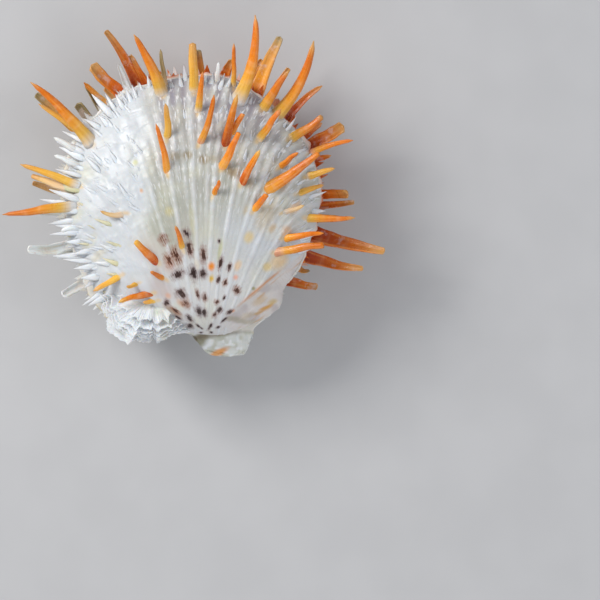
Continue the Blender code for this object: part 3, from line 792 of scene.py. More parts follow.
def grow_spines(name, grown, dome, valve, material, seed):
    """Tapered, channelled, lightly fluted spines joined in one mesh, coloured from foot to tip."""
    rng = np.random.default_rng(seed)
    count, steps = len(grown), SPINE_RINGS
    paths = spine_paths(grown, dome, steps)
    t = np.linspace(0, 1, steps)
    width = np.array([[s.width] for s in grown])
    end = np.array([[s.end] for s in grown])
    blunt = end > BLUNT_END
    radii = (width + (end - width) * t**1.3) / 2
    radii *= 1 + 0.18 * np.exp(-t / 0.05)
    radii *= np.where(blunt, 1.0, 1 - 0.75 * smooth(t, 0.9, 1.0))
    each = np.arange(count)[:, None]
    radii *= 1 + 0.05 * pattern(seed, t * 9, each * 5.3)
    sway = pattern(seed, t * 3, each * 3.1 + 40)
    outs = np.zeros((count, steps, 3))
    outs[..., 2] = dome.side
    tilt = rng.normal(0, 0.25, (count, 1))
    tangents = unit(np.gradient(paths, axis=1))
    sides = unit(np.cross(tangents, outs))
    outs = unit(outs + sides * tilt[..., None])
    paths = paths + sides * (sway * 0.35 * smooth(t, 0.1, 0.6))[..., None]
    places, quads, triangles, uv = sweep(paths, radii, outs, CHANNEL_SECTION)
    places[..., 2] = np.maximum(places[..., 2], GROUND_GAP)
    around = len(CHANNEL_SECTION)
    tones = tone_stops()
    tints = np.zeros((count, steps * around + 2, 3))
    in_channel = np.arange(around) >= CHANNEL_FROM
    for number, spine in enumerate(grown):
        outside, channel = tones[spine.tone]
        share = np.clip(t + rng.normal(0, 0.04), 0, 1)
        rows = np.where(
            in_channel[None, :, None], along_stops(channel, share)[:, None],
            along_stops(outside, share)[:, None],
        )
        rows = rows * (1 + rng.normal(0, 0.07))
        tints[number, :-2] = rows.reshape(-1, 3)
        tints[number, -2], tints[number, -1] = rows[0, 5], rows[-1, 5]
    return make_mesh(
        name, places.reshape(-1, 3), quads, triangles, uv, tints.reshape(-1, 3), valve, material,
    )


def spine_material(name, crust=0.0):
    """Glossy shell with lengthwise streaks, slow bands across, and patches of pale crust."""
    recipe = Recipe(name, 0.32, subsurface=0.1, radius=1.0)
    around, along = recipe.growth()
    streaks = recipe.noise(recipe.vector(around * 12, along * 0.10), 1.0, 3.0)
    bands = recipe.noise(recipe.vector(around * 1.5, along * 0.45), 1.0, 2.0)
    grain = recipe.noise(recipe.vector(around * 20, along * 1.4), 1.0, 2.0)
    patches = recipe.noise(object_place(recipe), 260.0, 4.0, 0.65)
    tint = recipe.attribute("tint", "Color")
    shadow = recipe.between(streaks, 0.45, 0.68, 0.0, 0.5)
    dark = recipe.blend(shadow, tint, (0.78, 0.62, 0.38, 1.0), "MULTIPLY")
    lit = recipe.blend(recipe.between(streaks, 0.5, 0.34, 0.0, 0.2), dark, (1.0, 0.55, 0.12, 1.0))
    pale = recipe.blend(recipe.between(bands, 0.5, 0.75, 0.0, 0.16), lit, (0.95, 0.72, 0.45, 1.0))
    crusted = recipe.between(patches, 0.54, 0.66, 0.0, crust)
    pale = recipe.blend(crusted, pale, (0.74, 0.62, 0.60, 1.0))
    rough = recipe.between(bands, 0.3, 0.7, 0.24, 0.42) + crusted * 0.3
    height = streaks * 0.6 + grain * 0.2 + recipe.between(patches, 0.5, 0.7) * (0.4 * crust)
    return recipe.finish(pale, rough, height, 0.3)


def scale_material(name):
    """White, slightly translucent shell with faint lengthwise lines."""
    recipe = Recipe(name, 0.4, subsurface=0.4, radius=2.0)
    around, along = recipe.growth()
    lines = recipe.noise(recipe.vector(around * 8, along * 0.5), 1.0, 2.0)
    tint = recipe.attribute("tint", "Color")
    shadow = recipe.between(lines, 0.45, 0.75, 0.0, 0.3)
    shaded = recipe.blend(shadow, tint, (0.87, 0.87, 0.88, 1.0), "MULTIPLY")
    return recipe.finish(shaded, recipe.between(lines, 0.3, 0.7, 0.35, 0.5), lines, 0.15)


def valve_material(name):
    """Shell with white rib tops, glassy furrows, riblets and growth lines."""
    recipe = Recipe(name, 0.4, subsurface=0.12, radius=1.5)
    ribs, along = recipe.growth()
    tint = recipe.attribute("tint", "Color")
    spots, black = recipe.attribute("spots"), recipe.attribute("black")
    white, fibre = recipe.attribute("whiteness"), recipe.attribute("fibre")
    place = object_place(recipe)
    grain = recipe.noise(place, 900.0, 3.0)
    cloud = recipe.noise(place, 160.0, 2.0)
    fibres = recipe.noise(recipe.vector(ribs * 4.0, along * 0.3), 1.0, 3.0)
    growth = recipe.noise(recipe.vector(ribs * 0.25, along * 1.1), 1.0, 2.0)
    threads = (fibres - 0.5) * fibre + 0.5
    shadow = recipe.between(threads, 0.45, 0.7, 0.0, 0.4)
    base = recipe.blend(shadow, tint, (0.76, 0.75, 0.74, 1.0), "MULTIPLY")
    base = recipe.blend(recipe.between(threads, 0.52, 0.62) * white, base, (0.84, 0.86, 0.88, 1.0))
    base = recipe.blend(recipe.between(cloud, 0.45, 0.75, 0.0, 0.12), base, (0.70, 0.70, 0.62, 1.0))
    ragged = spots + (fibres - 0.5) * 1.7 + (grain - 0.5) * 1.0
    brown = recipe.blend(black, (*shade(150, 88, 48), 1.0), (*shade(128, 104, 104), 1.0))
    core = recipe.blend(black, (*shade(82, 44, 26), 1.0), (*colours().spot, 1.0))
    base = recipe.blend(recipe.between(ragged, -0.6, 0.15, 0.0, 0.5), base, brown)
    base = recipe.blend(recipe.between(ragged, 0.05, 0.4, 0.0, 0.75), base, brown)
    base = recipe.blend(recipe.between(ragged, 0.2, 0.5), base, core)
    rough = recipe.between(cloud, 0.3, 0.7, 0.34, 0.5)
    height = threads * 0.55 + growth * 0.3 + grain * 0.15
    return recipe.finish(base, rough, height, 0.4)


# Dark spots by the umbo: middle, half width across the ribs, half length along them, strength, and kind,
# which is 1 for black, 0 for brown
DARK_SPOTS = (
    (-2.5, -15.8, 1.0, 1.3, 0.7, 1.0), (-1.4, -20.8, 0.9, 2.0, 0.95, 0.5),
    (-10.0, -17.8, 1.2, 1.4, 0.3, 0.3), (-5.9, -23.0, 1.3, 2.2, 0.7, 0.2),
    (-8.2, -24.6, 1.2, 1.8, 0.55, 0.0), (-5.2, -29.3, 1.75, 1.2, 0.9, 0.9),
    (3.1, -23.0, 0.95, 2.1, 0.95, 0.5), (-0.2, -29.0, 1.15, 2.0, 1.0, 1.0),
    (3.0, -29.1, 1.0, 1.35, 1.0, 0.9), (8.8, -25.6, 0.6, 1.8, 0.9, 0.7),
    (8.4, -18.3, 0.42, 0.6, 1.0, 1.0), (11.8, -26.8, 0.6, 1.1, 0.9, 0.7),
    (8.0, -31.0, 0.55, 1.1, 0.95, 0.8), (10.3, -32.1, 0.65, 1.0, 0.85, 0.3),
    (14.2, -34.5, 1.1, 1.0, 0.8, 0.3), (-4.6, -35.4, 1.3, 1.2, 0.85, 0.8),
    (-3.6, -36.4, 1.0, 1.0, 0.8, 0.7), (-2.7, -38.9, 1.0, 1.4, 0.5, 0.0),
    (1.2, -36.0, 0.5, 1.5, 0.85, 0.4), (3.5, -36.9, 0.75, 1.1, 0.9, 0.4),
    (7.5, -38.5, 0.65, 0.75, 0.9, 0.3), (10.0, -37.0, 0.35, 0.75, 0.9, 0.9),
    (-9.1, -38.7, 0.9, 0.9, 0.9, 0.8), (-6.3, -41.2, 0.5, 1.6, 0.7, 0.2),
    (1.6, -41.6, 0.85, 1.4, 1.0, 1.0), (3.35, -42.1, 0.75, 1.2, 1.0, 1.0),
    (8.5, -41.2, 0.75, 1.0, 0.95, 0.8), (6.8, -42.7, 0.6, 0.85, 0.9, 0.5),
    (11.7, -41.9, 0.6, 0.95, 1.0, 0.8), (-1.6, -43.9, 0.7, 1.2, 1.0, 1.0),
    (-5.4, -43.6, 0.4, 1.1, 0.95, 0.8), (-1.4, -46.4, 0.75, 1.0, 1.0, 1.0),
    (1.35, -46.5, 0.35, 0.8, 1.0, 1.0), (2.4, -47.2, 0.3, 0.45, 1.0, 1.0),
    (5.3, -46.6, 0.42, 1.1, 1.0, 1.0), (10.0, -44.6, 0.45, 1.0, 1.0, 1.0),
    (7.9, -46.9, 0.35, 0.65, 1.0, 1.0), (-3.8, -47.1, 0.25, 0.6, 0.95, 1.0),
    (2.2, -48.7, 0.3, 0.5, 1.0, 1.0), (5.6, -48.6, 0.3, 0.5, 1.0, 1.0),
)

# Coloured clouds on the upper valve: middle, half width, half length, colour, strength
UPPER_CLOUDS = (
    (-6.2, 9.8, 1.8, 1.4, (150, 130, 80), 0.5), (-2.2, 10.2, 1.8, 1.4, (140, 118, 70), 0.7),
    (3.2, 8.8, 1.8, 1.5, (135, 112, 66), 0.75), (6.2, 8.8, 1.6, 1.2, (165, 145, 100), 0.4),
    (10.8, 5.8, 1.8, 1.6, (150, 130, 85), 0.6), (13.2, 4.2, 2.0, 1.8, (140, 115, 75), 0.7),
    (18.2, 0.8, 1.8, 1.8, (150, 125, 85), 0.6), (24.0, -9.5, 3.0, 6.0, (190, 165, 110), 0.45),
    (-19.5, 7.8, 0.9, 0.9, (206, 204, 120), 0.6), (-17.5, -1.5, 0.6, 0.6, (226, 146, 50), 0.7),
    (-8.2, -8.5, 1.4, 1.6, (216, 200, 120), 0.45), (18.2, -17.0, 1.6, 2.0, (226, 190, 90), 0.6),
    (24.2, -26.8, 1.4, 1.6, (226, 190, 90), 0.6), (-38.0, 3.5, 5.0, 3.5, (212, 206, 160), 0.25),
    (-39.0, -9.5, 3.0, 2.0, (206, 204, 150), 0.25), (-35.0, -19.0, 4.0, 1.5, (222, 206, 150), 0.3),
    (-32.0, -23.0, 4.0, 1.5, (222, 204, 150), 0.3), (-7.0, -41.5, 0.9, 3.6, (160, 116, 76), 0.7),
    (5.76, -26.7, 1.1, 1.35, (234, 138, 4), 1.0), (5.76, -30.7, 0.8, 1.0, (222, 180, 60), 1.0),
    (14.5, -26.4, 1.1, 1.8, (236, 190, 130), 0.6), (13.8, -30.3, 0.8, 0.8, (236, 150, 110), 0.7),
    (19.7, -34.0, 0.6, 0.6, (150, 140, 70), 0.8), (12.9, -41.6, 0.7, 0.7, (220, 130, 60), 0.7),
    (8.6, -21.6, 0.7, 3.6, (176, 176, 120), 0.6), (-0.6, -11.5, 0.9, 6.0, (188, 186, 150), 0.5),
    (-11.0, -34.0, 3.0, 4.5, (190, 168, 162), 0.5), (-8.6, -36.4, 0.9, 1.0, (226, 150, 90), 0.5),
    (1.0, -26.2, 0.8, 2.0, (220, 200, 170), 0.5), (-12.0, -22.0, 3.0, 6.0, (206, 200, 196), 0.4),
    (24.0, -41.0, 0.6, 2.4, (206, 146, 44), 0.85), (26.6, -39.0, 0.9, 1.8, (206, 176, 110), 0.7),
    (28.2, -24.8, 2.6, 3.4, (226, 190, 134), 0.75), (21.6, -42.6, 0.5, 1.8, (186, 140, 60), 0.7),
    (22.0, -38.5, 1.2, 2.6, (196, 168, 126), 0.6), (18.0, -43.4, 1.0, 2.4, (188, 172, 146), 0.6),
    (-4.6, -38.8, 0.9, 1.6, (206, 140, 90), 0.5), (-8.0, -26.5, 2.0, 2.6, (196, 160, 150), 0.45),
    (30.0, 1.0, 1.6, 3.0, (206, 176, 128), 0.55), (33.5, -7.0, 1.4, 2.4, (222, 164, 100), 0.55),
    (26.0, -14.0, 1.0, 1.8, (200, 160, 96), 0.55), (21.5, -4.0, 1.0, 2.4, (186, 158, 110), 0.5),
    (30.5, -15.0, 1.6, 2.0, (222, 176, 124), 0.6), (17.0, -8.0, 0.8, 1.6, (196, 176, 136), 0.5),
)


def loop_corners(rings, columns, along):
    """Growth coordinates of those quads' corners: ribs round, and distance along."""
    ring, column = np.meshgrid(np.arange(rings - 1), np.arange(columns), indexing="ij")
    u = np.stack([column, column + 1, column + 1, column], axis=-1) * (RIBS / columns)
    after = (column + 1) % columns
    v = np.stack(
        [along[ring, column], along[ring, after], along[ring + 1, after], along[ring + 1, column]],
        axis=-1,
    )
    return np.stack([u, v], axis=-1).reshape(-1, 2)


def grid_outs(grid, side):
    """Directions out of a looped grid, from its own places."""
    down = np.gradient(grid, axis=0)
    across = np.roll(grid, -1, axis=1) - np.roll(grid, 1, axis=1)
    outs = unit(np.cross(across, down))
    middle = outs[len(outs) // 2, :, 2].mean()
    return outs if middle * side > 0 else -outs


def blob(x, y, cx, cy, half_width, half_length):
    """1 in a blob's middle, 0 at its edge and less outside; its length points at the umbo."""
    way = math.atan2(cy - UMBO[1], cx - UMBO[0])
    dx, dy = x - cx, y - cy
    along = dx * math.cos(way) + dy * math.sin(way)
    across = -dx * math.sin(way) + dy * math.cos(way)
    return 1 - np.hypot(across / half_width, along / half_length)


# Rings across the joint where the beak's face lies in it, the parts of the way across it at which a plain
# rim has rings, and the shares of the bowl's radius at which the bowl has them
FACE_RINGS = 26
RIM_PARTS = (0.15, 0.5, 1.0)
BOWL_SHARES = (0.97, 0.85, 0.6, 0.3)


def beak_face(ring, part):
    """A ring across the joint with the beak's puckered face on it, plain at the outer edge."""
    lift = beak_zone(ring[:, 0], ring[:, 1]) * pucker(ring[:, 0], ring[:, 1]) * smooth(part, 0.0, 0.15)
    height = np.minimum(ring[:, 2] + lift, JOINT_HEIGHT - FACE_DROP)
    return np.column_stack([ring[:, :2], np.where(lift == 0, ring[:, 2], height)])


def room_rings(dome, turns, wall, hinge):
    """Rings from the rim across the joint, and round the plain bowl inside the valve."""
    edge = dome.margin_at(turns)
    low, high = edge.min(axis=0), edge.max(axis=0)
    middle = (low + high) / 2
    angle = np.arctan2(*((edge - middle) / (high - low)).T[::-1])
    mouth = middle + np.stack([np.cos(angle), np.sin(angle)], axis=1) * (high - low) / 2 * ROOM
    rings = []
    for part in RIM_PARTS if hinge is None else np.linspace(0, 1, FACE_RINGS + 1)[1:]:
        ring = np.column_stack([edge + (mouth - edge) * part, np.full(len(turns), dome.rim)])
        rings.append(ring if hinge is None else beak_face(hinge(ring), part))
    for share in BOWL_SHARES:
        drop = (dome.rise - wall) * math.sqrt(1 - share**2)
        height = np.full(len(turns), dome.rim + dome.side * drop)
        rings.append(np.column_stack([middle + (mouth - middle) * share, height]))
    return np.array(rings), np.append(middle, dome.rim + dome.side * (dome.rise - wall))


def shell_skin(name, dome, rings, look, valve, material, wall, hinge=None):
    """A closed valve: relief outside, a rim in the joint, and a plain bowl inside."""
    columns = SKIN_COLUMNS
    turns = np.arange(columns) / columns
    t = np.linspace(0, 1, rings + 1)[1:]
    shares = 0.55 * t + 0.45 * np.sin(np.pi / 2 * t)
    turn_grid, share_grid = np.meshgrid(turns, shares)
    grid = dome.places(turn_grid, share_grid)
    if hinge is not None:
        grid = hinge(grid)
    lift, tint, values = look(dome, grid, turn_grid)
    skin = grid + grid_outs(grid, dome.side) * lift[..., None]
    skin[-1, :, 2] = grid[-1, :, 2]
    if dome.side < 0:
        skin[..., 2] = np.maximum(skin[..., 2], 0.0)
    inner, inner_pole = room_rings(dome, turns, wall, hinge)
    everything = np.concatenate([skin, inner])
    total = len(everything)
    places = np.concatenate([everything.reshape(-1, 3), [skin[0].mean(axis=0), inner_pole]])
    turn = np.arange(columns)
    after = (turn + 1) % columns
    pole, last = total * columns, (total - 1) * columns
    fan_low = np.stack([np.full(columns, pole), after, turn], axis=-1)
    fan_high = np.stack([np.full(columns, pole + 1), last + turn, last + after], axis=-1)
    quads, triangles = loop_quads(total, columns), np.concatenate([fan_low, fan_high])
    along = np.linalg.norm(everything[..., :2] - UMBO, axis=-1)
    low_u = np.stack([turn + 0.5, turn + 1, turn], axis=-1) * (RIBS / columns)
    high_u = np.stack([turn + 0.5, turn, turn + 1], axis=-1) * (RIBS / columns)
    fan_uv = np.stack([np.concatenate([low_u, high_u]), np.zeros((2 * columns, 3))], axis=-1)
    uv = np.concatenate([loop_corners(total, columns, along), fan_uv.reshape(-1, 2)])
    if dome.side < 0:
        quads, triangles = quads[:, ::-1], triangles[:, ::-1]
        uv = np.concatenate(
            [uv[: quads.size].reshape(-1, 4, 2)[:, ::-1].reshape(-1, 2),
             uv[quads.size :].reshape(-1, 3, 2)[:, ::-1].reshape(-1, 2)]
        )
    inside = plain(inner.shape[:2], 228, 224, 216)
    if hinge is not None:
        x, y = inner[..., 0], inner[..., 1]
        # The beak's colours on its face in the joint, with their painted shade and highlights.
        inside = mixed(inside, beak_tint(x, y), beak_zone(x, y))
    inside = inside.reshape(-1, 3)
    flat = np.concatenate([tint.reshape(-1, 3), inside, tint[:1, 0], inside[-1:]])
    full = {
        key: np.concatenate([amount.ravel(), np.full(inner.shape[0] * columns, amount.min()),
                             [amount[0, 0], amount.min()]])
        for key, amount in values.items()
    }
    return make_mesh(name, places, quads, triangles, uv, flat, valve, material, full)


class Ribs:
    """Ribs at places on a valve: 1 on a rib's top and 0 in a furrow, for main and lesser ribs."""

    def __init__(self, number, step, distance):
        self.step, self.distance = step, distance
        wander = 0.10 * pattern(11, number * 0.35, distance / 9.0)
        self.number = number + wander
        near = np.round(self.number)
        across = (self.number - near) * step
        along = pattern(12, near * 5.7, distance / 7.0)
        own = pattern(13, near * 3.3, near * 0.0)
        is_main = near % MAIN_RIB == 0
        width = np.clip(step * 0.33, 0.3, 1.0)
        broad = np.clip(step * 0.36, 0.75, 1.25)
        self.main = is_main * np.exp(-((across / broad) ** 2)) * (0.75 + 0.4 * along)
        self.lesser = ~is_main * np.exp(-((across / width) ** 2)) * (0.7 + 0.35 * along + 0.25 * own)
        self.lesser *= smooth(step, 1.2, 3.0)
        self.ridge = np.clip(self.main + 0.8 * self.lesser, 0, 1)
        self.dash = smooth(pattern(14, near * 2.1, distance / 2.2), -0.6, 0.5)
        shingle = distance / 3.6 + 1.6 * own + 0.7 * pattern(15, near * 4.1, distance / 9.0)
        self.shingle = sawtooth(shingle) ** 2
        self.profile = 1 - (2 * (self.number - near)) ** 2


def upper_ribs(dome, grid):
    """The upper valve's ribs, which spread from FAN."""
    x, y = grid[..., 0], grid[..., 1]
    number = dome.rib_numbers(x, y)
    shift = 0.25
    slope = np.hypot(dome.rib_numbers(x + shift, y) - number, dome.rib_numbers(x, y + shift) - number)
    step = np.clip(shift / np.maximum(slope, 1e-4), 0.3, 8.0)
    return Ribs(number, step, np.hypot(x - UMBO[0], y - UMBO[1]))


def lower_ribs(grid, turns):
    """The lower valve's ribs, which follow its columns from the umbo."""
    gap = np.linalg.norm(np.roll(grid, -1, axis=-2) - grid, axis=-1) * turns.shape[-1] / RIBS
    distance = np.hypot(grid[..., 0] - UMBO[0], grid[..., 1] - UMBO[1])
    return Ribs(turns * RIBS, np.clip(gap, 0.3, 8.0), distance)


def left_zone(x, y):
    """1 on the scaly left of the upper valve, 0 on its open back."""
    edge = -15.0 + 2.5 * pattern(21, x / 7.0, y / 7.0)
    return smooth(-x, -edge - 3.5, -edge + 3.5)


# The corner that the ear spreads from, and the direction of its upper edge
EAR_CORNER = np.array([6.0, -46.0])
EAR_WAY = np.array([0.766, 0.643])


def ear_place(x, y):
    """How far along the ear's upper edge a place is, and how far below it."""
    dx, dy = x - EAR_CORNER[0], y - EAR_CORNER[1]
    return dx * EAR_WAY[0] + dy * EAR_WAY[1], dx * EAR_WAY[1] - dy * EAR_WAY[0]


def ear_zone(x, y):
    """1 on the smooth ear at the right of the umbo."""
    along, below = ear_place(x, y)
    return smooth(below, 0.3, 2.4) * smooth(along, 0.0, 6.0)


def upper_relief(ribs, turns, x, y):
    """How far the upper valve's ribs, growth steps, leaves and ear stand out, in millimetres."""
    distance = ribs.distance
    left, ear = left_zone(x, y), ear_zone(x, y)
    growth = np.clip(distance / 55.0, 0.3, 1.1)
    height = sizes().rib_height / MM
    raised = (0.55 * ribs.main + 0.42 * ribs.lesser) * height * growth * (0.75 + 0.5 * ribs.shingle)
    raised *= (1 - 0.9 * ear) * (1 - 0.75 * left)
    band = distance / 3.4 + 0.8 * pattern(31, turns * 30, distance / 14)
    steps = sawtooth(band) ** 3 * 0.12 * growth * (1 - 0.6 * left)
    mounds = pattern(41, turns * RIBS * 0.5, distance / 8.0)
    folds = pattern(43, turns * RIBS * 1.1, distance / 9.0)
    jagged = distance / 4.6 + 0.9 * pattern(47, turns * RIBS * 0.9, distance / 20)
    leaves = sawtooth(jagged) ** 2 * pattern(48, turns * 34, distance / 9)
    patches = smooth(pattern(33, x / 4.5, y / 4.5), -0.5, 0.6)
    shingles = ribs.shingle * ribs.profile * smooth(distance, 14, 30) * patches
    fluff = pattern(49, ribs.number * 1.5, distance / 5.0)
    leafy = left * (0.5 * mounds + 0.25 * folds + 0.3 * leaves + 0.4 * shingles + 0.3 * fluff) * growth
    lumps = 0.12 * pattern(44, ribs.number * 0.8, distance / 4.0) * growth
    fine = 0.05 * pattern(51, ribs.number * 2.4, distance / 2.2)
    ear_lines = ear * 0.34 * pattern(72, (x * 0.64 - y * 0.77) * 0.9, (x + y) * 0.08)
    return (raised + steps + leafy + lumps + fine - 0.9 * ear + ear_lines) * smooth(distance, 0.5, 5.0)


def foot_glow(tint, x, y, grown, colour):
    """Warms the shell round the feet of the coloured spines."""
    for spine in grown:
        if spine.tone == "ivory":
            continue
        foot = np.array(spine.root)
        way = unit(np.array(spine.tip) - foot)
        along = (x - foot[0]) * way[0] + (y - foot[1]) * way[1]
        across = (x - foot[0]) * -way[1] + (y - foot[1]) * way[0]
        near = 1 - np.hypot(across / (spine.width * 0.6), along / np.where(along < 0, 2.6, 5.0))
        tint = mixed(tint, colour, 0.5 * smooth(near, 0.2, 0.9))
    return tint


def upper_tint(ribs, x, y):
    """Colours of the upper valve, laid one over the other, with painted shade along the ear's lower edge."""
    paint = colours()
    distance = ribs.distance
    left, ear = left_zone(x, y), ear_zone(x, y)
    tint = plain(x.shape, 198, 198, 188)
    tint = mixed(tint, shade(206, 210, 216), smooth(x + 0.5 * y, -6, 8) * smooth(-y, 2, 16))
    tint = mixed(tint, shade(208, 208, 208), smooth(-distance, -36, -22))
    sage = pattern(63, ribs.number * 0.45, distance / 11.0)
    middle = (1 - left) * smooth(distance, 20, 36) * smooth(-np.abs(x + 4), -24, -10)
    tint = mixed(tint, shade(182, 186, 164), 0.6 * smooth(sage, -0.1, 0.7) * middle)
    far = smooth(distance, 54, 78) * smooth(y, -20, 6)
    glassy = far * (1 - ribs.ridge) * (1 - 0.8 * left)
    tint = mixed(tint, paint.lilac, 0.95 * glassy)
    furrow = (1 - ribs.ridge) * smooth(distance, 10, 45) * (1 - left) * (1 - far) * 0.7
    furrow = furrow * (0.35 + 0.65 * smooth(y - 0.5 * x, -30, -2))
    tint = mixed(tint, shade(156, 156, 146), furrow)
    tint = mixed(tint, paint.white, 0.95 * ribs.ridge * (0.5 + 0.5 * ribs.dash) * (1 - 0.5 * ear))
    tint = mixed(tint, shade(212, 217, 223), 0.85 * left)
    clouds = pattern(61, x / 5.0, y / 5.0)
    tint = mixed(tint, shade(214, 212, 186), 0.28 * smooth(clouds, 0.1, 0.8) * (1 - 0.5 * left))
    tint = mixed(tint, shade(212, 204, 200), 0.8 * ear)
    lilac = smooth(pattern(73, x / 3.4, y / 3.4), 0.0, 0.6)
    tint = mixed(tint, shade(176, 166, 168), 0.6 * ear * lilac)
    # Painted shade: an olive band along the ear's lower edge, where it meets the lower valve.
    rim = ear * smooth(-np.abs((x - 21.0) * 0.22 + y + 46.4), -1.6, -0.3) * smooth(-y, 42.5, 44)
    tint = mixed(tint, shade(158, 150, 124), 0.6 * rim)
    lines = pattern(71, (x * 0.64 - y * 0.77) * 1.1, (x * 0.77 + y * 0.64) * 0.16)
    scratches = ear * smooth(lines, 0.35, 0.8)
    tint = mixed(tint, shade(200, 150, 92), 0.6 * scratches)
    _, below = ear_place(x, y)
    seam = np.exp(-((below - 0.8) / 0.55) ** 2) * smooth(x, 12, 20)
    tint = mixed(tint, shade(204, 128, 56), 0.8 * seam * smooth(-y, 27, 30))
    for cx, cy, half_width, half_length, colour, strength in UPPER_CLOUDS:
        near = blob(x, y, cx, cy, half_width, half_length)
        tint = mixed(tint, shade(*colour), strength * smooth(near, -0.5, 0.6))
    return foot_glow(tint, x, y, UPPER_RIM_SPINES + UPPER_BACK_SPINES, paint.yellow)


def upper_spots(x, y):
    """How near a place is to a dark spot, from -1 to 1, and how black that spot is."""
    spots, black = np.full(x.shape, -1.0), np.zeros(x.shape)
    for cx, cy, half_width, half_length, strength, kind in DARK_SPOTS:
        near = np.maximum(blob(x, y, cx, cy, half_width * 1.3, half_length * 1.3), -1.0)
        near = near * np.where(near > 0, strength, 1.0)
        black = np.where(near > spots, kind, black)
        spots = np.maximum(spots, near)
    return spots, black


def upper_look(dome, grid, turns):
    """Relief, colours and markings of the upper valve's outside."""
    x, y = grid[..., 0], grid[..., 1]
    ribs = upper_ribs(dome, grid)
    spots, black = upper_spots(x, y)
    values = {
        "spots": spots,
        "black": black,
        "fibre": np.clip(0.25 + 0.5 * smooth(ribs.distance, 12, 60), 0, 1) * (1 - 0.6 * left_zone(x, y)),
        "whiteness": np.clip(0.35 + 0.4 * smooth(ribs.distance, 30, 70), 0, 1) * (1 - ear_zone(x, y)),
    }
    return upper_relief(ribs, turns, x, y), upper_tint(ribs, x, y), values


def along_rib(dome, rng, ribs, starts, gaps, chance):
    """Places for scales: turns and shares along ribs, where a chance allows them."""
    turns, shares = [], []
    for rib in ribs:
        turn = rib / RIBS
        reach = np.linalg.norm(dome.margin_at(np.array(turn)) - UMBO)
        at = starts + rng.uniform(0, gaps[1])
        while at < reach:
            x, y = dome.plan(np.array(turn), np.array(at / reach))
            if rng.random() < chance(x, y, at, reach):
                turns.append(turn + rng.normal(0, 0.1) / RIBS)
                shares.append(at / reach)
            at += rng.uniform(*gaps)
    return np.array(turns), np.array(shares)


def margin_roots(dome, rng, ribs, depths, chance):
    """Places for points by the margin: one on each rib at a chance, its root that deep inside."""
    turns, shares = [], []
    for rib in ribs:
        turn = (rib + rng.normal(0, 0.12)) / RIBS
        edge = dome.margin_at(np.array(turn))
        if rng.random() < chance(*edge):
            turns.append(turn)
            shares.append(1 - rng.uniform(*depths) / np.linalg.norm(edge - UMBO))
    return np.array(turns), np.array(shares)


def grow_scales(dome, turns, shares, lengths, widths, lifts, curls, tints, seed, outward=0.0, depth=0.5):
    """Arched tapering tongues that lean outwards from the surface: places, quads, triangles, uv, tints."""
    rng = np.random.default_rng(seed)
    steps, count = 8, len(turns)
    places, along, outs = dome.stance(turns, np.clip(shares, 0.02, 0.99))
    across = np.cross(along, outs)
    away = unit((places - np.append(dome.middle, 0.0)) * (1, 1, 0))
    way = unit(along * (1 - outward) + away * outward + across * rng.normal(0, 0.12, (count, 1)))
    lift = lifts[:, None]
    heading = unit(way * np.cos(lift) + outs * np.sin(lift))
    low = places - outs * depth - way * (0.7 + depth)
    t = np.linspace(0, 1, steps)
    bend = (outs * curls[:, None] + across * rng.normal(0, 0.05, (count, 1))) * lengths[:, None]
    paths = low[:, None] + heading[:, None] * (lengths[:, None] * t)[..., None]
    paths += bend[:, None] * (t**2)[None, :, None]
    radii = widths[:, None] / 2 * (1 - t**1.5 * 0.93) * (0.3 + 0.85 * smooth(t, 0.0, 0.45))
    normals = np.broadcast_to(outs[:, None], paths.shape)
    places, quads, triangles, uv = sweep(paths, radii, normals, SCALE_SECTION)
    places[..., 2] = np.maximum(places[..., 2], GROUND_GAP)
    fade = np.append(np.repeat(t, len(SCALE_SECTION)), [0.0, 1.0])[None, :, None]
    rows = tints[:, None] * (0.9 + 0.1 * smooth(fade, 0.2, 0.6))
    return places.reshape(-1, 3), quads, triangles, uv, rows.reshape(-1, 3)


def ranged_scales(dome, rng, roots, usual, lengths, widths, lifts, curls, colour, seed, outward, depth):
    """Scales on the roots given, each measure drawn evenly from its own range."""
    count = len(roots[0])
    drawn = [rng.uniform(*limits, count) for limits in (lengths, widths, lifts, curls)]
    return grow_scales(dome, *roots, usual * drawn[0], *drawn[1:], colour(roots[0]), seed, outward, depth)


def join_scales(name, groups, valve, material):
    """Several groups of scales as one object."""
    places, quads, triangles, quad_uv, fan_uv, tints, count = [], [], [], [], [], [], 0
    for group in groups:
        places.append(group[0])
        quads.append(group[1] + count)
        triangles.append(group[2] + count)
        quad_uv.append(group[3][: group[1].size])
        fan_uv.append(group[3][group[1].size :])
        tints.append(group[4])
        count += len(group[0])
    return make_mesh(
        name, np.concatenate(places), np.concatenate(quads), np.concatenate(triangles),
        np.concatenate(quad_uv + fan_uv), np.concatenate(tints), valve, material,
    )


def finished(made):
    """What an operator returns when its object has faces. An object without any is an error."""
    if not made.data.polygons:
        raise RuntimeError(f"{made.name} has no faces")
    return {"FINISHED"}


class SHELL_OT_upper_valve(bpy.types.Operator):
    """Makes the upper valve: ribs, growth steps, spots and the smooth ear"""

    bl_idname = "shell.upper_valve"
    bl_label = "Upper valve"

    def execute(self, context):
        return finished(shell_skin(
            "upper_skin", upper_dome(), UPPER_RINGS, upper_look,
            "upper_valve", valve_material("ribbed_pearl"), UPPER_WALL,
        ))


class SHELL_OT_upper_spines(bpy.types.Operator):
    """Makes the spines of the upper valve"""

    bl_idname = "shell.upper_spines"
    bl_label = "Upper spines"

    def execute(self, context):
        return finished(grow_spines(
            "upper_spines", UPPER_RIM_SPINES + UPPER_BACK_SPINES, upper_dome(),
            "upper_valve", spine_material("upper_spine"), 101,
        ))


# The margin has no points behind the first of these lines, nor on its right behind the second
BARE_HINGE = -42.0
BARE_RIGHT = -24.0


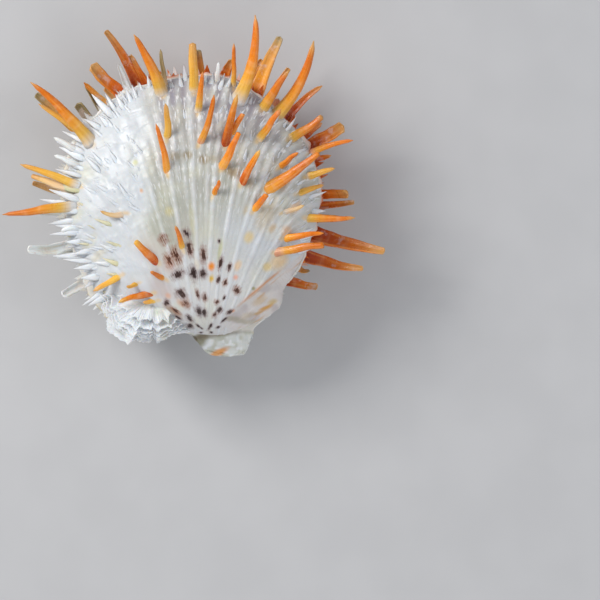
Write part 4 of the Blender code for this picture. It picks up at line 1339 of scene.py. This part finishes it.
def upper_scale_groups(dome):
    """Long points at the margin, flat scales behind them, and broad soft flakes on the left."""
    rng = np.random.default_rng(7)
    usual = sizes().scale_length / MM

    def colour(turns, low=0.0, high=0.3):
        count = len(turns)
        tints = mixed(plain((count,), 242, 243, 245), shade(204, 202, 206), rng.uniform(low, high, count))
        x, y = dome.margin_at(turns).T
        yellow = (rng.random(count) < 0.25) * smooth(-x, 24, 34) * smooth(8 - y, 0, 8)
        return mixed(tints, shade(232, 216, 156), 0.8 * yellow)

    def bare(x, y):
        return y < BARE_HINGE or (x > 0 and y < BARE_RIGHT)

    def at_margin(x, y):
        return 0.0 if bare(x, y) else 0.95

    groups = []
    turns, shares = margin_roots(dome, rng, np.arange(0, RIBS, 0.6), (5.5, 12.5), at_margin)
    left = smooth(-dome.margin_at(turns)[:, 0], 14, 30)
    count = len(turns)
    lengths = usual * (1.35 + left * 0.5) * (0.7 + 0.7 * rng.random(count) ** 2)
    groups.append(grow_scales(
        dome, turns, shares, lengths, rng.uniform(1.5, 2.6, count) * (1 + 0.4 * left),
        rng.uniform(0.04, 0.16, count) + 0.04 * left, rng.uniform(-0.10, 0.02, count),
        colour(turns), 21, 0.15 + 0.3 * left[:, None], 0.6,
    ))

    def some_margin(x, y):
        return 0.0 if bare(x, y) else float(0.3 + 0.6 * smooth(-x, 14, 26))

    roots = margin_roots(dome, rng, np.arange(0.3, RIBS, 0.9), (3.5, 6.0), some_margin)
    groups.append(ranged_scales(
        dome, rng, roots, usual, (0.6, 0.95), (1.4, 2.4), (-0.15, 0.15), (-0.05, 0.1),
        lambda turns: colour(turns, 0.1, 0.7), 22, 0.5, 0.5,
    ))

    def behind(x, y, at, reach):
        if ear_zone(x, y) > 0.2 or at > reach - 9:
            return 0.0
        right = smooth(x, 8, 22)
        start = reach * (0.55 - 0.25 * right)
        return float((0.6 + 0.35 * right) * smooth(at, start, start + 16)) * (1 - 0.5 * left_zone(x, y))

    roots = along_rib(dome, rng, np.arange(0, RIBS, 1.0), 30.0, (5.0, 9.0), behind)
    groups.append(ranged_scales(
        dome, rng, roots, usual, (0.9, 1.4), (1.5, 2.3), (0.12, 0.20), (-0.10, -0.03), colour, 23, 0.0, 0.6,
    ))

    def soft(x, y, at, reach):
        return 0.6 * float(left_zone(x, y) * smooth(at, 18, 32)) * (at < reach - 5)

    roots = along_rib(dome, rng, np.arange(0, RIBS, 0.7), 14.0, (3.0, 6.5), soft)
    groups.append(ranged_scales(
        dome, rng, roots, usual, (0.9, 1.6), (1.2, 2.4), (0.12, 0.22), (-0.10, -0.02),
        lambda turns: colour(turns, 0.0, 0.1), 24, 0.2, 0.8,
    ))
    return groups


# The middle that the frill is counted round, and the columns and rows of one leaf
FRILL_MIDDLE = np.array([-14.0, -36.0])
FRILL_COLUMNS = 240
FRILL_ROWS = 13
# The frill's usual distance from its middle, at which its ruffles have their sizes
RUFFLE_REACH = 16.0
# The frill's outer edge in plan, from the left round to the umbo
FRILL_EDGE = (
    (-34.8, -36.5), (-32.5, -36.8), (-30.5, -38.8), (-30.2, -42.2), (-28.8, -43.5), (-28.5, -47.8),
    (-26.2, -48.8), (-23.8, -50.8), (-22.2, -52.8), (-20.5, -50.5), (-14.8, -51.5), (-13.8, -48.8),
    (-12.2, -51.5), (-9.2, -49.5), (-7.8, -48.5), (-1.8, -48.5),
)
# Leaves of the frill on each valve: the height that a leaf grows from, how far it rises, and the share of
# the way to the frill's outer edge that it reaches
UPPER_LEAVES = (
    (30.6, 1.2, 1.0), (31.4, 1.6, 0.92), (32.4, 2.0, 0.86), (33.6, 2.2, 0.76), (35.0, 2.2, 0.66),
    (36.6, 2.2, 0.54), (38.2, 2.0, 0.42),
)
LOWER_LEAVES = (
    (29.2, 0.6, 1.0), (27.4, 1.0, 1.0), (25.0, 1.6, 0.96), (22.0, 1.8, 0.9), (19.0, 1.8, 0.82),
    (15.5, 1.6, 0.72), (12.0, 1.6, 0.62), (8.5, 1.4, 0.5),
)


def frill_leaf(dome, height, rise, reach, seed):
    """One ruffled, jagged leaf of the frill, as a grid from inside the wall to its outer edge."""
    edge = np.array(FRILL_EDGE) - FRILL_MIDDLE
    bearings = np.arctan2(edge[:, 1], edge[:, 0])
    bearing = np.linspace(bearings[0], bearings[-1], FRILL_COLUMNS)
    outer = np.interp(bearing, bearings, np.hypot(*edge.T))
    way = np.stack([np.cos(bearing), np.sin(bearing)], axis=-1)
    steps = np.linspace(0, 1.2, 200)
    line = FRILL_MIDDLE + way[:, None] * (outer[:, None] * steps)[..., None]
    above = dome.side * (dome.height(line[..., 0], line[..., 1]) - height)
    inner = np.minimum(outer * steps[np.argmax(above <= 0, axis=1)], outer - 0.6)
    arc = bearing * RUFFLE_REACH

    def ripple(size, number, t=0.0):
        return pattern(number, arc / size, t, seed * 0.28)

    round_it = np.linspace(0, 1, FRILL_COLUMNS)
    ends = smooth(round_it, 0.0, 0.12) * smooth(round_it[::-1], 0.0, 0.1)
    teeth = (1 - np.abs(ripple(2.2, 302))) ** 2 + 0.5 * (1 - np.abs(ripple(0.9, 307))) ** 3
    length = (outer - inner) * reach * (1 + 0.22 * ripple(4.2, 301)) + 1.3 * teeth - 0.8
    length = np.maximum(length * (0.3 + 0.7 * ends), 0.6)
    t = np.linspace(0, 1, FRILL_ROWS)[:, None]
    radius = inner - 1.0 + (length + 1.0) * t
    flutes = 0.42 * ripple(3.2, 303, t * 0.8) + 0.1 * ripple(1.1, 304, t) + 0.8 * ripple(6.5, 305, t * 0.5)
    height = height + rise * t**1.4 + flutes * t * (0.4 + 0.6 * ends)
    sideways = 0.5 * t * ripple(3.0, 306, t)
    aside = np.stack([-way[:, 1], way[:, 0]], axis=-1)
    plan = FRILL_MIDDLE + way * radius[..., None] + aside * sideways[..., None]
    return np.concatenate([plan, height[..., None]], axis=-1)


def grow_frill(name, dome, leaves, valve, material, seed):
    """The frill's leaves on one valve, joined."""
    sheets = Sheets()
    for number, (height, rise, reach) in enumerate(leaves):
        grid = frill_leaf(dome, height, rise, reach, seed + number)
        outs = unit(np.cross(np.gradient(grid, axis=1), np.gradient(grid, axis=0)))
        t = np.linspace(0, 1, len(grid))[:, None]
        x, y = grid[..., 0], grid[..., 1]
        tint = mixed(plain(x.shape, 220, 219, 212), shade(240, 242, 244), smooth(t, 0.0, 0.5))
        tint = mixed(tint, shade(222, 212, 176), 0.3 * smooth(soft_noise(grid, 5.0, seed + 50), 0.2, 0.8))
        tint = mixed(tint, shade(196, 206, 166), 0.5 * smooth(blob(x, y, -12.5, -42.2, 1.6, 1.6), 0, 0.8))
        sheets.add(grid, outs, 0.6 - 0.35 * t, tint)
    return sheets.build(name, valve, material)


class SHELL_OT_upper_frill(bpy.types.Operator):
    """Makes the frill's leaves that grow from the upper valve"""

    bl_idname = "shell.upper_frill"
    bl_label = "Upper frill"

    def execute(self, context):
        return finished(grow_frill(
            "upper_frill", upper_dome(), UPPER_LEAVES, "upper_valve",
            scale_material("upper_leaf"), 400,
        ))


class SHELL_OT_lower_frill(bpy.types.Operator):
    """Makes the frill's leaves that grow from the lower valve"""

    bl_idname = "shell.lower_frill"
    bl_label = "Lower frill"

    def execute(self, context):
        return finished(grow_frill(
            "lower_frill", lower_dome(), LOWER_LEAVES, "lower_valve",
            scale_material("lower_leaf"), 430,
        ))


class SHELL_OT_upper_scales(bpy.types.Operator):
    """Makes the white scales on the ribs and the white points past the margin"""

    bl_idname = "shell.upper_scales"
    bl_label = "Upper scales"

    def execute(self, context):
        groups = upper_scale_groups(upper_dome())
        material = scale_material("white_scale")
        return finished(join_scales("upper_scales", groups, "upper_valve", material))


def lower_hinge(grid):
    """Keeps a place under the slope behind the hinge and above the ground."""
    slope = JOINT_HEIGHT - FACE_DROP + (grid[..., 1] - HINGE_LINE) * HINGE_SLOPE
    height = np.where(grid[..., 1] < HINGE_LINE, np.minimum(grid[..., 2], slope), grid[..., 2])
    return np.concatenate([grid[..., :2], np.maximum(height, 0.0)[..., None]], axis=-1)


# The crest on the underside: one ridge to the far edge and one round the hollow to the beak
CREST_ROUTES = (
    (
        (-9.5, 25.0), (-8.0, 13.0), (3.5, 1.0), (-3.0, -8.0), (-10.5, -22.5), (-3.0, -29.5),
        (12.0, -34.5),
    ),
    ((-8.0, 13.0), (-14.0, 9.0), (-16.5, 0.0)),
)
CREST_HALF_WIDTH = 2.2


def beak_zone(x, y):
    """1 on the sloping area behind the hinge, where the lower valve's beak is."""
    return smooth(-y, 47.6, 48.8) * smooth(x, -3.0, 0.0)


def pucker(x, y):
    """Crinkles and waves of the beak's face, in millimetres."""
    plan = np.stack([x, y], -1)
    crinkles = soft_noise(plan, 1.5, 45) + 0.5 * soft_noise(plan, 0.8, 49)
    waves = pattern(46, (x * 0.35 + y * 0.2) / 2.2, y / 2.2)
    return 0.4 * crinkles * (0.5 + 0.5 * smooth(x, 7, 14)) + 0.55 * waves


def beak_tint(x, y):
    """Stained white of the beak's face with painted highlights, painted olive shade at its left, painted
    shade in the joint's crease, and orange at its tip.
    """
    plan = np.stack([x, y], -1)
    tint = plain(x.shape, 212, 214, 210)
    tint = mixed(tint, shade(178, 178, 156), 0.7 * smooth(soft_noise(plan, 2.2, 91), -0.2, 0.6))
    # Painted highlights: small whiter patches over the beak's face.
    tint = mixed(tint, shade(236, 239, 242), 0.7 * smooth(soft_noise(plan, 1.2, 96), 0.15, 0.6))
    # Painted shade: olive shading on the beak's left edge.
    tint = mixed(tint, shade(120, 116, 84), 0.85 * smooth(blob(x, y, 2.0, -51.0, 2.2, 3.8), -0.4, 0.6))
    # Painted shade: darker in the crease where the beak's face meets the upper valve.
    crease_shade = smooth(-np.abs(y + 49.8 - 0.16 * (x - 4.0)), -1.5, -0.2)
    tint = mixed(tint, shade(112, 98, 76), 0.75 * crease_shade)
    return mixed(tint, shade(222, 148, 62), 0.9 * smooth(blob(x, y, 7.6, -55.6, 4.4, 1.2), -0.3, 0.6))


def crest_near(x, y):
    """1 on the crest's middle line and 0 beyond its ragged edge."""
    plan = np.stack([x, y], -1)
    x = x + 1.6 * soft_noise(plan, 4.0, 92) + 0.6 * soft_noise(plan, 1.5, 93)
    y = y + 1.6 * soft_noise(plan, 4.0, 94) + 0.6 * soft_noise(plan, 1.5, 95)
    apart = np.full(x.shape, 99.0)
    for route in CREST_ROUTES:
        for start, stop in itertools.pairwise(np.array(route)):
            leg = stop - start
            share = np.clip(((x - start[0]) * leg[0] + (y - start[1]) * leg[1]) / (leg @ leg), 0, 1)
            apart = np.minimum(apart, np.hypot(x - start[0] - share * leg[0], y - start[1] - share * leg[1]))
    ragged = 0.4 * soft_noise(plan, 1.3, 81) + 0.3 * soft_noise(plan, 3.5, 82) + 0.6 * smooth(y, -6, 10)
    return np.clip(1 - apart / (CREST_HALF_WIDTH * (1 + ragged)), 0, 1)


def hollow_near(x, y):
    """1 in the middle of the smooth hollow that the crest stands round."""
    away = np.hypot((x + 8.5 - 0.3 * (y - 1)) / 8.0, (y - 0.5) / 12.5)
    return smooth(-away, -1.0, -0.6)


def scar_near(x, y):
    """1 on the eroded scar with its net of fine ridges."""
    away = np.hypot((x - 14.0) / 22.0, (y + 24.0) / 18.0)
    return smooth(-away - 0.15 * pattern(83, x / 5.0, y / 5.0), -1.05, -0.8)


def beak_under(x, y):
    """1 on the smooth white area under the beak."""
    across = np.abs(x - 4.0 - 0.25 * (y + 45.0)) / (13.5 - 0.15 * np.abs(y + 45))
    return smooth(-across, -1.0, -0.85) * smooth(-y, 34.0, 36.0)


def net_near(plan):
    """0 on the scar's net of fine ridges, and more the further a place is from it."""
    return np.minimum(np.abs(soft_noise(plan, 3.2, 84)), np.abs(soft_noise(plan, 2.2, 85)))


def slit_near(x, y, width):
    """1 in the sunken slit across the scar, whose dark colour is painted shade, and less beyond its width.
    """
    across = (y + 36.0 + 0.28 * (x - 5.0)) / width
    return np.exp(-(across ** 2)) * smooth(-np.abs(x - 4.0), -9.0, -5.0)


def lower_relief(ribs, turns, x, y, z):
    """How far the lower valve's outside stands out of its dome, or lies under it, in millimetres."""
    growth = np.clip(ribs.distance / 55.0, 0.1, 1.1)
    raised = (ribs.main + 0.5 * ribs.lesser) * sizes().rib_height / MM * growth
    rough = 0.35 * pattern(42, turns * RIBS * 1.3, ribs.distance / 2.4)
    flat = smooth(-z, -2.5, -0.2)
    beak = beak_zone(x, y)
    plan = np.stack([x, y], -1)
    band = z / 3.2 + 0.9 * pattern(50, turns * 44, z / 9)
    bands = 0.5 * (1 - sawtooth(band)) ** 2 * smooth(ribs.distance, 10, 30)
    outside = (raised + rough * growth + bands) * (1 - flat) * smooth(ribs.distance, 0.5, 6.0)
    crest, hollow = smooth(crest_near(x, y), 0.0, 0.45), hollow_near(x, y)
    net = net_near(plan)
    sunk = 0.9 * smooth(net, 0.02, 0.22) * scar_near(x, y) + 0.35 * (1 - scar_near(x, y))
    sunk += 3.0 * hollow + 0.3 * soft_noise(plan, 1.4, 86) + 0.3
    sunk += 2.4 * slit_near(x, y, 1.1)
    under = flat * (1 - crest) * np.maximum(sunk, 0.0)
    wall = (1 - flat) * crest * (1.4 + 0.6 * soft_noise(plan, 1.2, 87))
    pits = (1 - flat) * 0.4 * scar_near(x, y) * smooth(net, 0.02, 0.22)
    return (outside + wall - pits) * (1 - beak) - under + beak * pucker(x, y)


def lower_tint(ribs, x, y, z):
    """Colours of the lower valve, laid one over the other."""
    plan = np.stack([x, y], -1)
    tint = plain(x.shape, 212, 214, 212)
    patches = soft_noise(plan, 9.0, 62)
    cream = smooth(patches, 0.1, 0.7) * smooth(-x, 6, 16)
    tint = mixed(tint, shade(232, 206, 130), 0.55 * cream)
    orange_side = smooth(y + 0.25 * x, -8, 2) * smooth(x + 0.3 * y, -6, 2)
    tint = mixed(tint, shade(214, 112, 44), 0.9 * orange_side)
    rows = pattern(64, ribs.number * 1.3, ribs.distance / 4.0)
    rows = rows + 0.5 * soft_noise(plan, 1.6, 65)
    tint = mixed(tint, shade(222, 196, 188), 0.8 * orange_side * smooth(rows, 0.0, 0.45))
    tint = mixed(tint, shade(186, 74, 18), 0.6 * orange_side * smooth(-rows, 0.25, 0.7))
    scar, net = scar_near(x, y), net_near(plan)
    # The worn scar's grey, which between the net's whiter ridges is also painted shade in its pits.
    tint = mixed(tint, shade(196, 196, 186), 0.9 * scar)
    tint = mixed(tint, shade(226, 226, 220), 0.8 * scar * smooth(-net, -0.14, -0.03))
    tint = mixed(tint, shade(226, 130, 56), 0.7 * scar * smooth(soft_noise(plan, 1.8, 88), 0.62, 0.8))
    smooth_white = beak_under(x, y) * smooth(-z, -14, -4)
    tint = mixed(tint, shade(226, 224, 218), smooth_white)
    hollow = hollow_near(x, y)
    pale = smooth(soft_noise(plan, 4.0, 89) - 0.06 * y, -0.3, 0.8)
    olive = mixed(plain(x.shape, 176, 142, 74), shade(222, 206, 160), pale)
    tint = mixed(tint, olive, hollow)
    # Painted shade: dark brown in the sunken slit across the scar.
    tint = mixed(tint, shade(112, 80, 60), 0.8 * slit_near(x, y, 1.3))
    crest = smooth(crest_near(x, y), 0.05, 0.35)
    flame = mixed(plain(x.shape, 226, 84, 18), shade(240, 164, 50), smooth(-y, 22, 30))
    flame = mixed(flame, shade(240, 140, 90), 0.6 * smooth(soft_noise(plan, 1.6, 90), 0.2, 0.7))
    tint = mixed(tint, flame, crest)
    # The beak's colours, with their painted shade and highlights.
    tint = mixed(tint, beak_tint(x, y), beak_zone(x, y))
    return foot_glow(tint, x, y, LOWER_RIM_SPINES, shade(226, 130, 50))


def lower_look(dome, grid, turns):
    """Relief and colours of the lower valve's outside."""
    x, y, z = grid[..., 0], grid[..., 1], grid[..., 2]
    ribs = lower_ribs(grid, turns)
    values = {
        "spots": np.full(x.shape, -1.0), "black": np.zeros(x.shape),
        "fibre": 0.6 * (1 - 0.7 * beak_zone(x, y)), "whiteness": np.full(x.shape, 0.2),
    }
    return lower_relief(ribs, turns, x, y, z), lower_tint(ribs, x, y, z), values


class SHELL_OT_lower_valve(bpy.types.Operator):
    """Makes the lower valve with its beak and its resting scar"""

    bl_idname = "shell.lower_valve"
    bl_label = "Lower valve"

    def execute(self, context):
        return finished(shell_skin(
            "lower_skin", lower_dome(), LOWER_RINGS, lower_look,
            "lower_valve", valve_material("chalky_shell"), LOWER_WALL, lower_hinge,
        ))


# Rows of scales on the lower valve's left: depth inside the margin from and to, lift, seed, how far they
# turn outwards, and size
LOWER_SCALE_ROWS = (
    ((0.06, 0.2), 0.0, 38, 1.0, 0.4), ((0.3, 0.8), 0.0, 36, 1.0, 0.5), ((1.0, 2.0), 0.0, 31, 0.9, 0.6),
    ((2.5, 4.5), 0.0, 37, 0.8, 0.7), ((5.0, 9.0), 0.05, 32, 0.6, 0.8),
    ((10.0, 15.0), 0.12, 33, 0.5, 0.9), ((16.0, 22.0), 0.18, 35, 0.4, 0.9),
)
# Rows of blades on the right of the underside: depth inside the margin from and to, and longest blade
BLADE_ROWS = (((0.06, 0.2), 2.4), ((0.3, 0.8), 3.2), ((1.0, 2.2), 4.5), ((2.5, 4.5), 6.0))


def lower_scale_groups(dome):
    """White points on the left margin, and white flakes in rows below them."""
    rng = np.random.default_rng(9)
    usual = sizes().scale_length / MM

    def greys(count):
        return mixed(plain((count,), 232, 235, 238), shade(206, 196, 176), rng.uniform(0, 0.7, count))

    def left_margin(x, y):
        return float(smooth(-x, -2.0, 14.0)) if y > BARE_HINGE else 0.0

    groups = []
    for depths, lift, seed, outward, size in LOWER_SCALE_ROWS:
        turns, shares = margin_roots(dome, rng, np.arange(0, RIBS, 0.8), depths, left_margin)
        count = len(turns)
        groups.append(grow_scales(
            dome, turns, shares, size * usual * rng.uniform(0.7, 1.6, count),
            rng.uniform(1.4, 2.8, count), rng.uniform(0, 0.15, count) + lift,
            rng.uniform(-0.1, 0.05, count), greys(count), seed, outward,
        ))
    return groups


def lower_blade_groups(dome):
    """Short orange blades in rows on the underside, some with a white crust."""
    rng = np.random.default_rng(10)

    def on_orange(x, y, *_):
        far = float(dome.share(x, y))
        return 0.85 if 0.52 < far < 0.98 and y + 0.25 * x > -8 and x + 0.3 * y > -6 else 0.0

    def right_margin(x, y):
        return 0.85 if x > -20 and y > -28 else 0.0

    turns, shares = along_rib(dome, rng, np.arange(0, RIBS, 0.8), 34.0, (3.5, 6.5), on_orange)
    outward = np.full(len(turns), 0.1)
    lengths = rng.uniform(4.0, 9.0, len(turns))
    for depths, longest in BLADE_ROWS:
        row_turns, row_shares = margin_roots(dome, rng, np.arange(0, RIBS, 0.8), depths, right_margin)
        turns, shares = np.append(turns, row_turns), np.append(shares, row_shares)
        outward = np.append(outward, np.full(len(row_turns), 0.9))
        lengths = np.append(lengths, longest * rng.uniform(0.6, 1.0, len(row_turns)))
    count = len(turns)
    tints = mixed(plain((count,), 228, 116, 30), shade(196, 78, 16), rng.uniform(0, 0.8, count))
    tints = mixed(tints, shade(222, 190, 180), 0.85 * (rng.random(count) > 0.75))
    return [grow_scales(
        dome, turns, shares, lengths, rng.uniform(1.6, 3.2, count),
        rng.uniform(0.15, 0.5, count) * (1 - outward), rng.uniform(-0.1, 0.15, count), tints, 34,
        outward[:, None],
    )]


class SHELL_OT_lower_scales(bpy.types.Operator):
    """Makes the white scales of the lower valve's left side"""

    bl_idname = "shell.lower_scales"
    bl_label = "Lower scales"

    def execute(self, context):
        groups = lower_scale_groups(lower_dome())
        material = scale_material("lower_scale")
        return finished(join_scales("lower_scales", groups, "lower_valve", material))


class SHELL_OT_lower_blades(bpy.types.Operator):
    """Makes the short orange blades of the underside"""

    bl_idname = "shell.lower_blades"
    bl_label = "Lower blades"

    def execute(self, context):
        groups = lower_blade_groups(lower_dome())
        material = spine_material("lower_blade", 0.7)
        return finished(join_scales("lower_blades", groups, "lower_valve", material))


class SHELL_OT_lower_spines(bpy.types.Operator):
    """Makes the spines of the lower valve"""

    bl_idname = "shell.lower_spines"
    bl_label = "Lower spines"

    def execute(self, context):
        return finished(grow_spines(
            "lower_spines", LOWER_RIM_SPINES + LOWER_BACK_SPINES, lower_dome(),
            "lower_valve", spine_material("lower_spine", 0.45), 102,
        ))


# The photo's middle and the place of the frame's origin in it, in pixels, and the pixels in a millimetre
PHOTO_MIDDLE = (300, 300)
ORIGIN_PIXEL = (194.5, 186.5)
PIXELS_PER_MM = 3
# The camera's lens and sensor in millimetres, and its view's width and reach and half the floor in metres
LENS = 600.0
SENSOR = 36.0
VIEW_WIDTH = 0.200
FAR_CLIP = 20.0
FLOOR_HALF = 3.0
# The even light from all round, and the place that the lamps are turned to
SKY_COLOUR = (0.9, 0.94, 1.0, 1.0)
SKY_STRENGTH = 0.41
LIGHT_AIM = Vector((0.0, 0.0, 0.03))
# Lights: name, place and width of the disc in metres, power, and colour
LIGHTS = (
    ("key", (-0.6, 0.4, 0.6), 0.4, 6.9, (1.0, 0.98, 0.95)),
    ("fill", (0.7, -0.1, 0.6), 0.8, 2.0, (0.95, 0.97, 1.0)),
    ("low_fill", (0.1, -0.8, 0.4), 0.8, 2.0, (1.0, 0.98, 0.96)),
)


def area_light(name, place, size, power, colour):
    """A round soft light that is turned to the shell."""
    data = bpy.data.lights.new(name, "AREA")
    data.shape = "DISK"
    data.size, data.energy, data.color = size, power, colour
    made = bpy.data.objects.new(name, data)
    bpy.context.scene.collection.objects.link(made)
    made.location = place
    way = LIGHT_AIM - made.location
    made.rotation_euler = way.to_track_quat("-Z", "Y").to_euler()


class SHELL_OT_stage(bpy.types.Operator):
    """Makes the floor, the lights and the camera that looks straight down"""

    bl_idname = "shell.stage"
    bl_label = "Stage"

    def execute(self, context):
        scene = context.scene
        half = FLOOR_HALF
        data = bpy.data.meshes.new("floor")
        data.from_pydata(
            [(-half, -half, 0), (half, -half, 0), (half, half, 0), (-half, half, 0)], [], [(0, 1, 2, 3)]
        )
        recipe = Recipe("floor_grey", 0.8)
        speck = recipe.noise(object_place(recipe), 40.0, 2.0)
        share = recipe.between(speck, 0.3, 0.7)
        tone = recipe.blend(share, (0.50, 0.50, 0.51, 1.0), (0.52, 0.52, 0.53, 1.0))
        recipe.feed(recipe.shader.inputs["Base Color"], tone)
        data.materials.append(recipe.material)
        floor = bpy.data.objects.new("floor", data)
        scene.collection.objects.link(floor)

        world = bpy.data.worlds.new("soft_room")
        world.use_nodes = True
        sky = world.node_tree.nodes["Background"]
        sky.inputs["Color"].default_value = SKY_COLOUR
        sky.inputs["Strength"].default_value = SKY_STRENGTH
        scene.world = world
        for light in LIGHTS:
            area_light(*light)

        data = bpy.data.cameras.new("camera")
        data.lens = LENS
        data.sensor_width = SENSOR
        data.clip_end = FAR_CLIP
        camera = bpy.data.objects.new("camera", data)
        scene.collection.objects.link(camera)
        right = (PHOTO_MIDDLE[0] - ORIGIN_PIXEL[0]) / PIXELS_PER_MM
        up = (ORIGIN_PIXEL[1] - PHOTO_MIDDLE[1]) / PIXELS_PER_MM
        away = VIEW_WIDTH * LENS / SENSOR
        camera.location = (right * MM, up * MM, JOINT_HEIGHT * MM + away)
        scene.camera = camera
        scene.view_settings.view_transform = "Standard"
        return finished(floor)


class SHELL_PT_build(bpy.types.Panel):
    """Lists the shell's pieces in the order they are made"""

    bl_label = "Thorny oyster shell"
    bl_space_type = "VIEW_3D"
    bl_region_type = "UI"
    bl_category = "Shell"

    def draw(self, context):
        for operator in OPERATORS:
            self.layout.operator(operator.bl_idname)
        for group in (context.scene.shell_sizes, context.scene.shell_colours):
            for key in group.__annotations__:
                self.layout.prop(group, key)


OPERATORS = (
    SHELL_OT_upper_valve, SHELL_OT_upper_spines, SHELL_OT_upper_scales, SHELL_OT_upper_frill,
    SHELL_OT_lower_valve, SHELL_OT_lower_spines, SHELL_OT_lower_scales, SHELL_OT_lower_blades,
    SHELL_OT_lower_frill, SHELL_OT_stage,
)
CLASSES = (ShellSizes, ShellColours, *OPERATORS, SHELL_PT_build)


def register():
    for kind in CLASSES:
        bpy.utils.register_class(kind)
    bpy.types.Scene.shell_sizes = bpy.props.PointerProperty(type=ShellSizes)
    bpy.types.Scene.shell_colours = bpy.props.PointerProperty(type=ShellColours)


def unregister():
    del bpy.types.Scene.shell_colours
    del bpy.types.Scene.shell_sizes
    for kind in reversed(CLASSES):
        bpy.utils.unregister_class(kind)


def main():
    register()
    for operator in OPERATORS:
        group, name = operator.bl_idname.split(".")
        getattr(getattr(bpy.ops, group), name)()


if __name__ == "__main__":
    main()
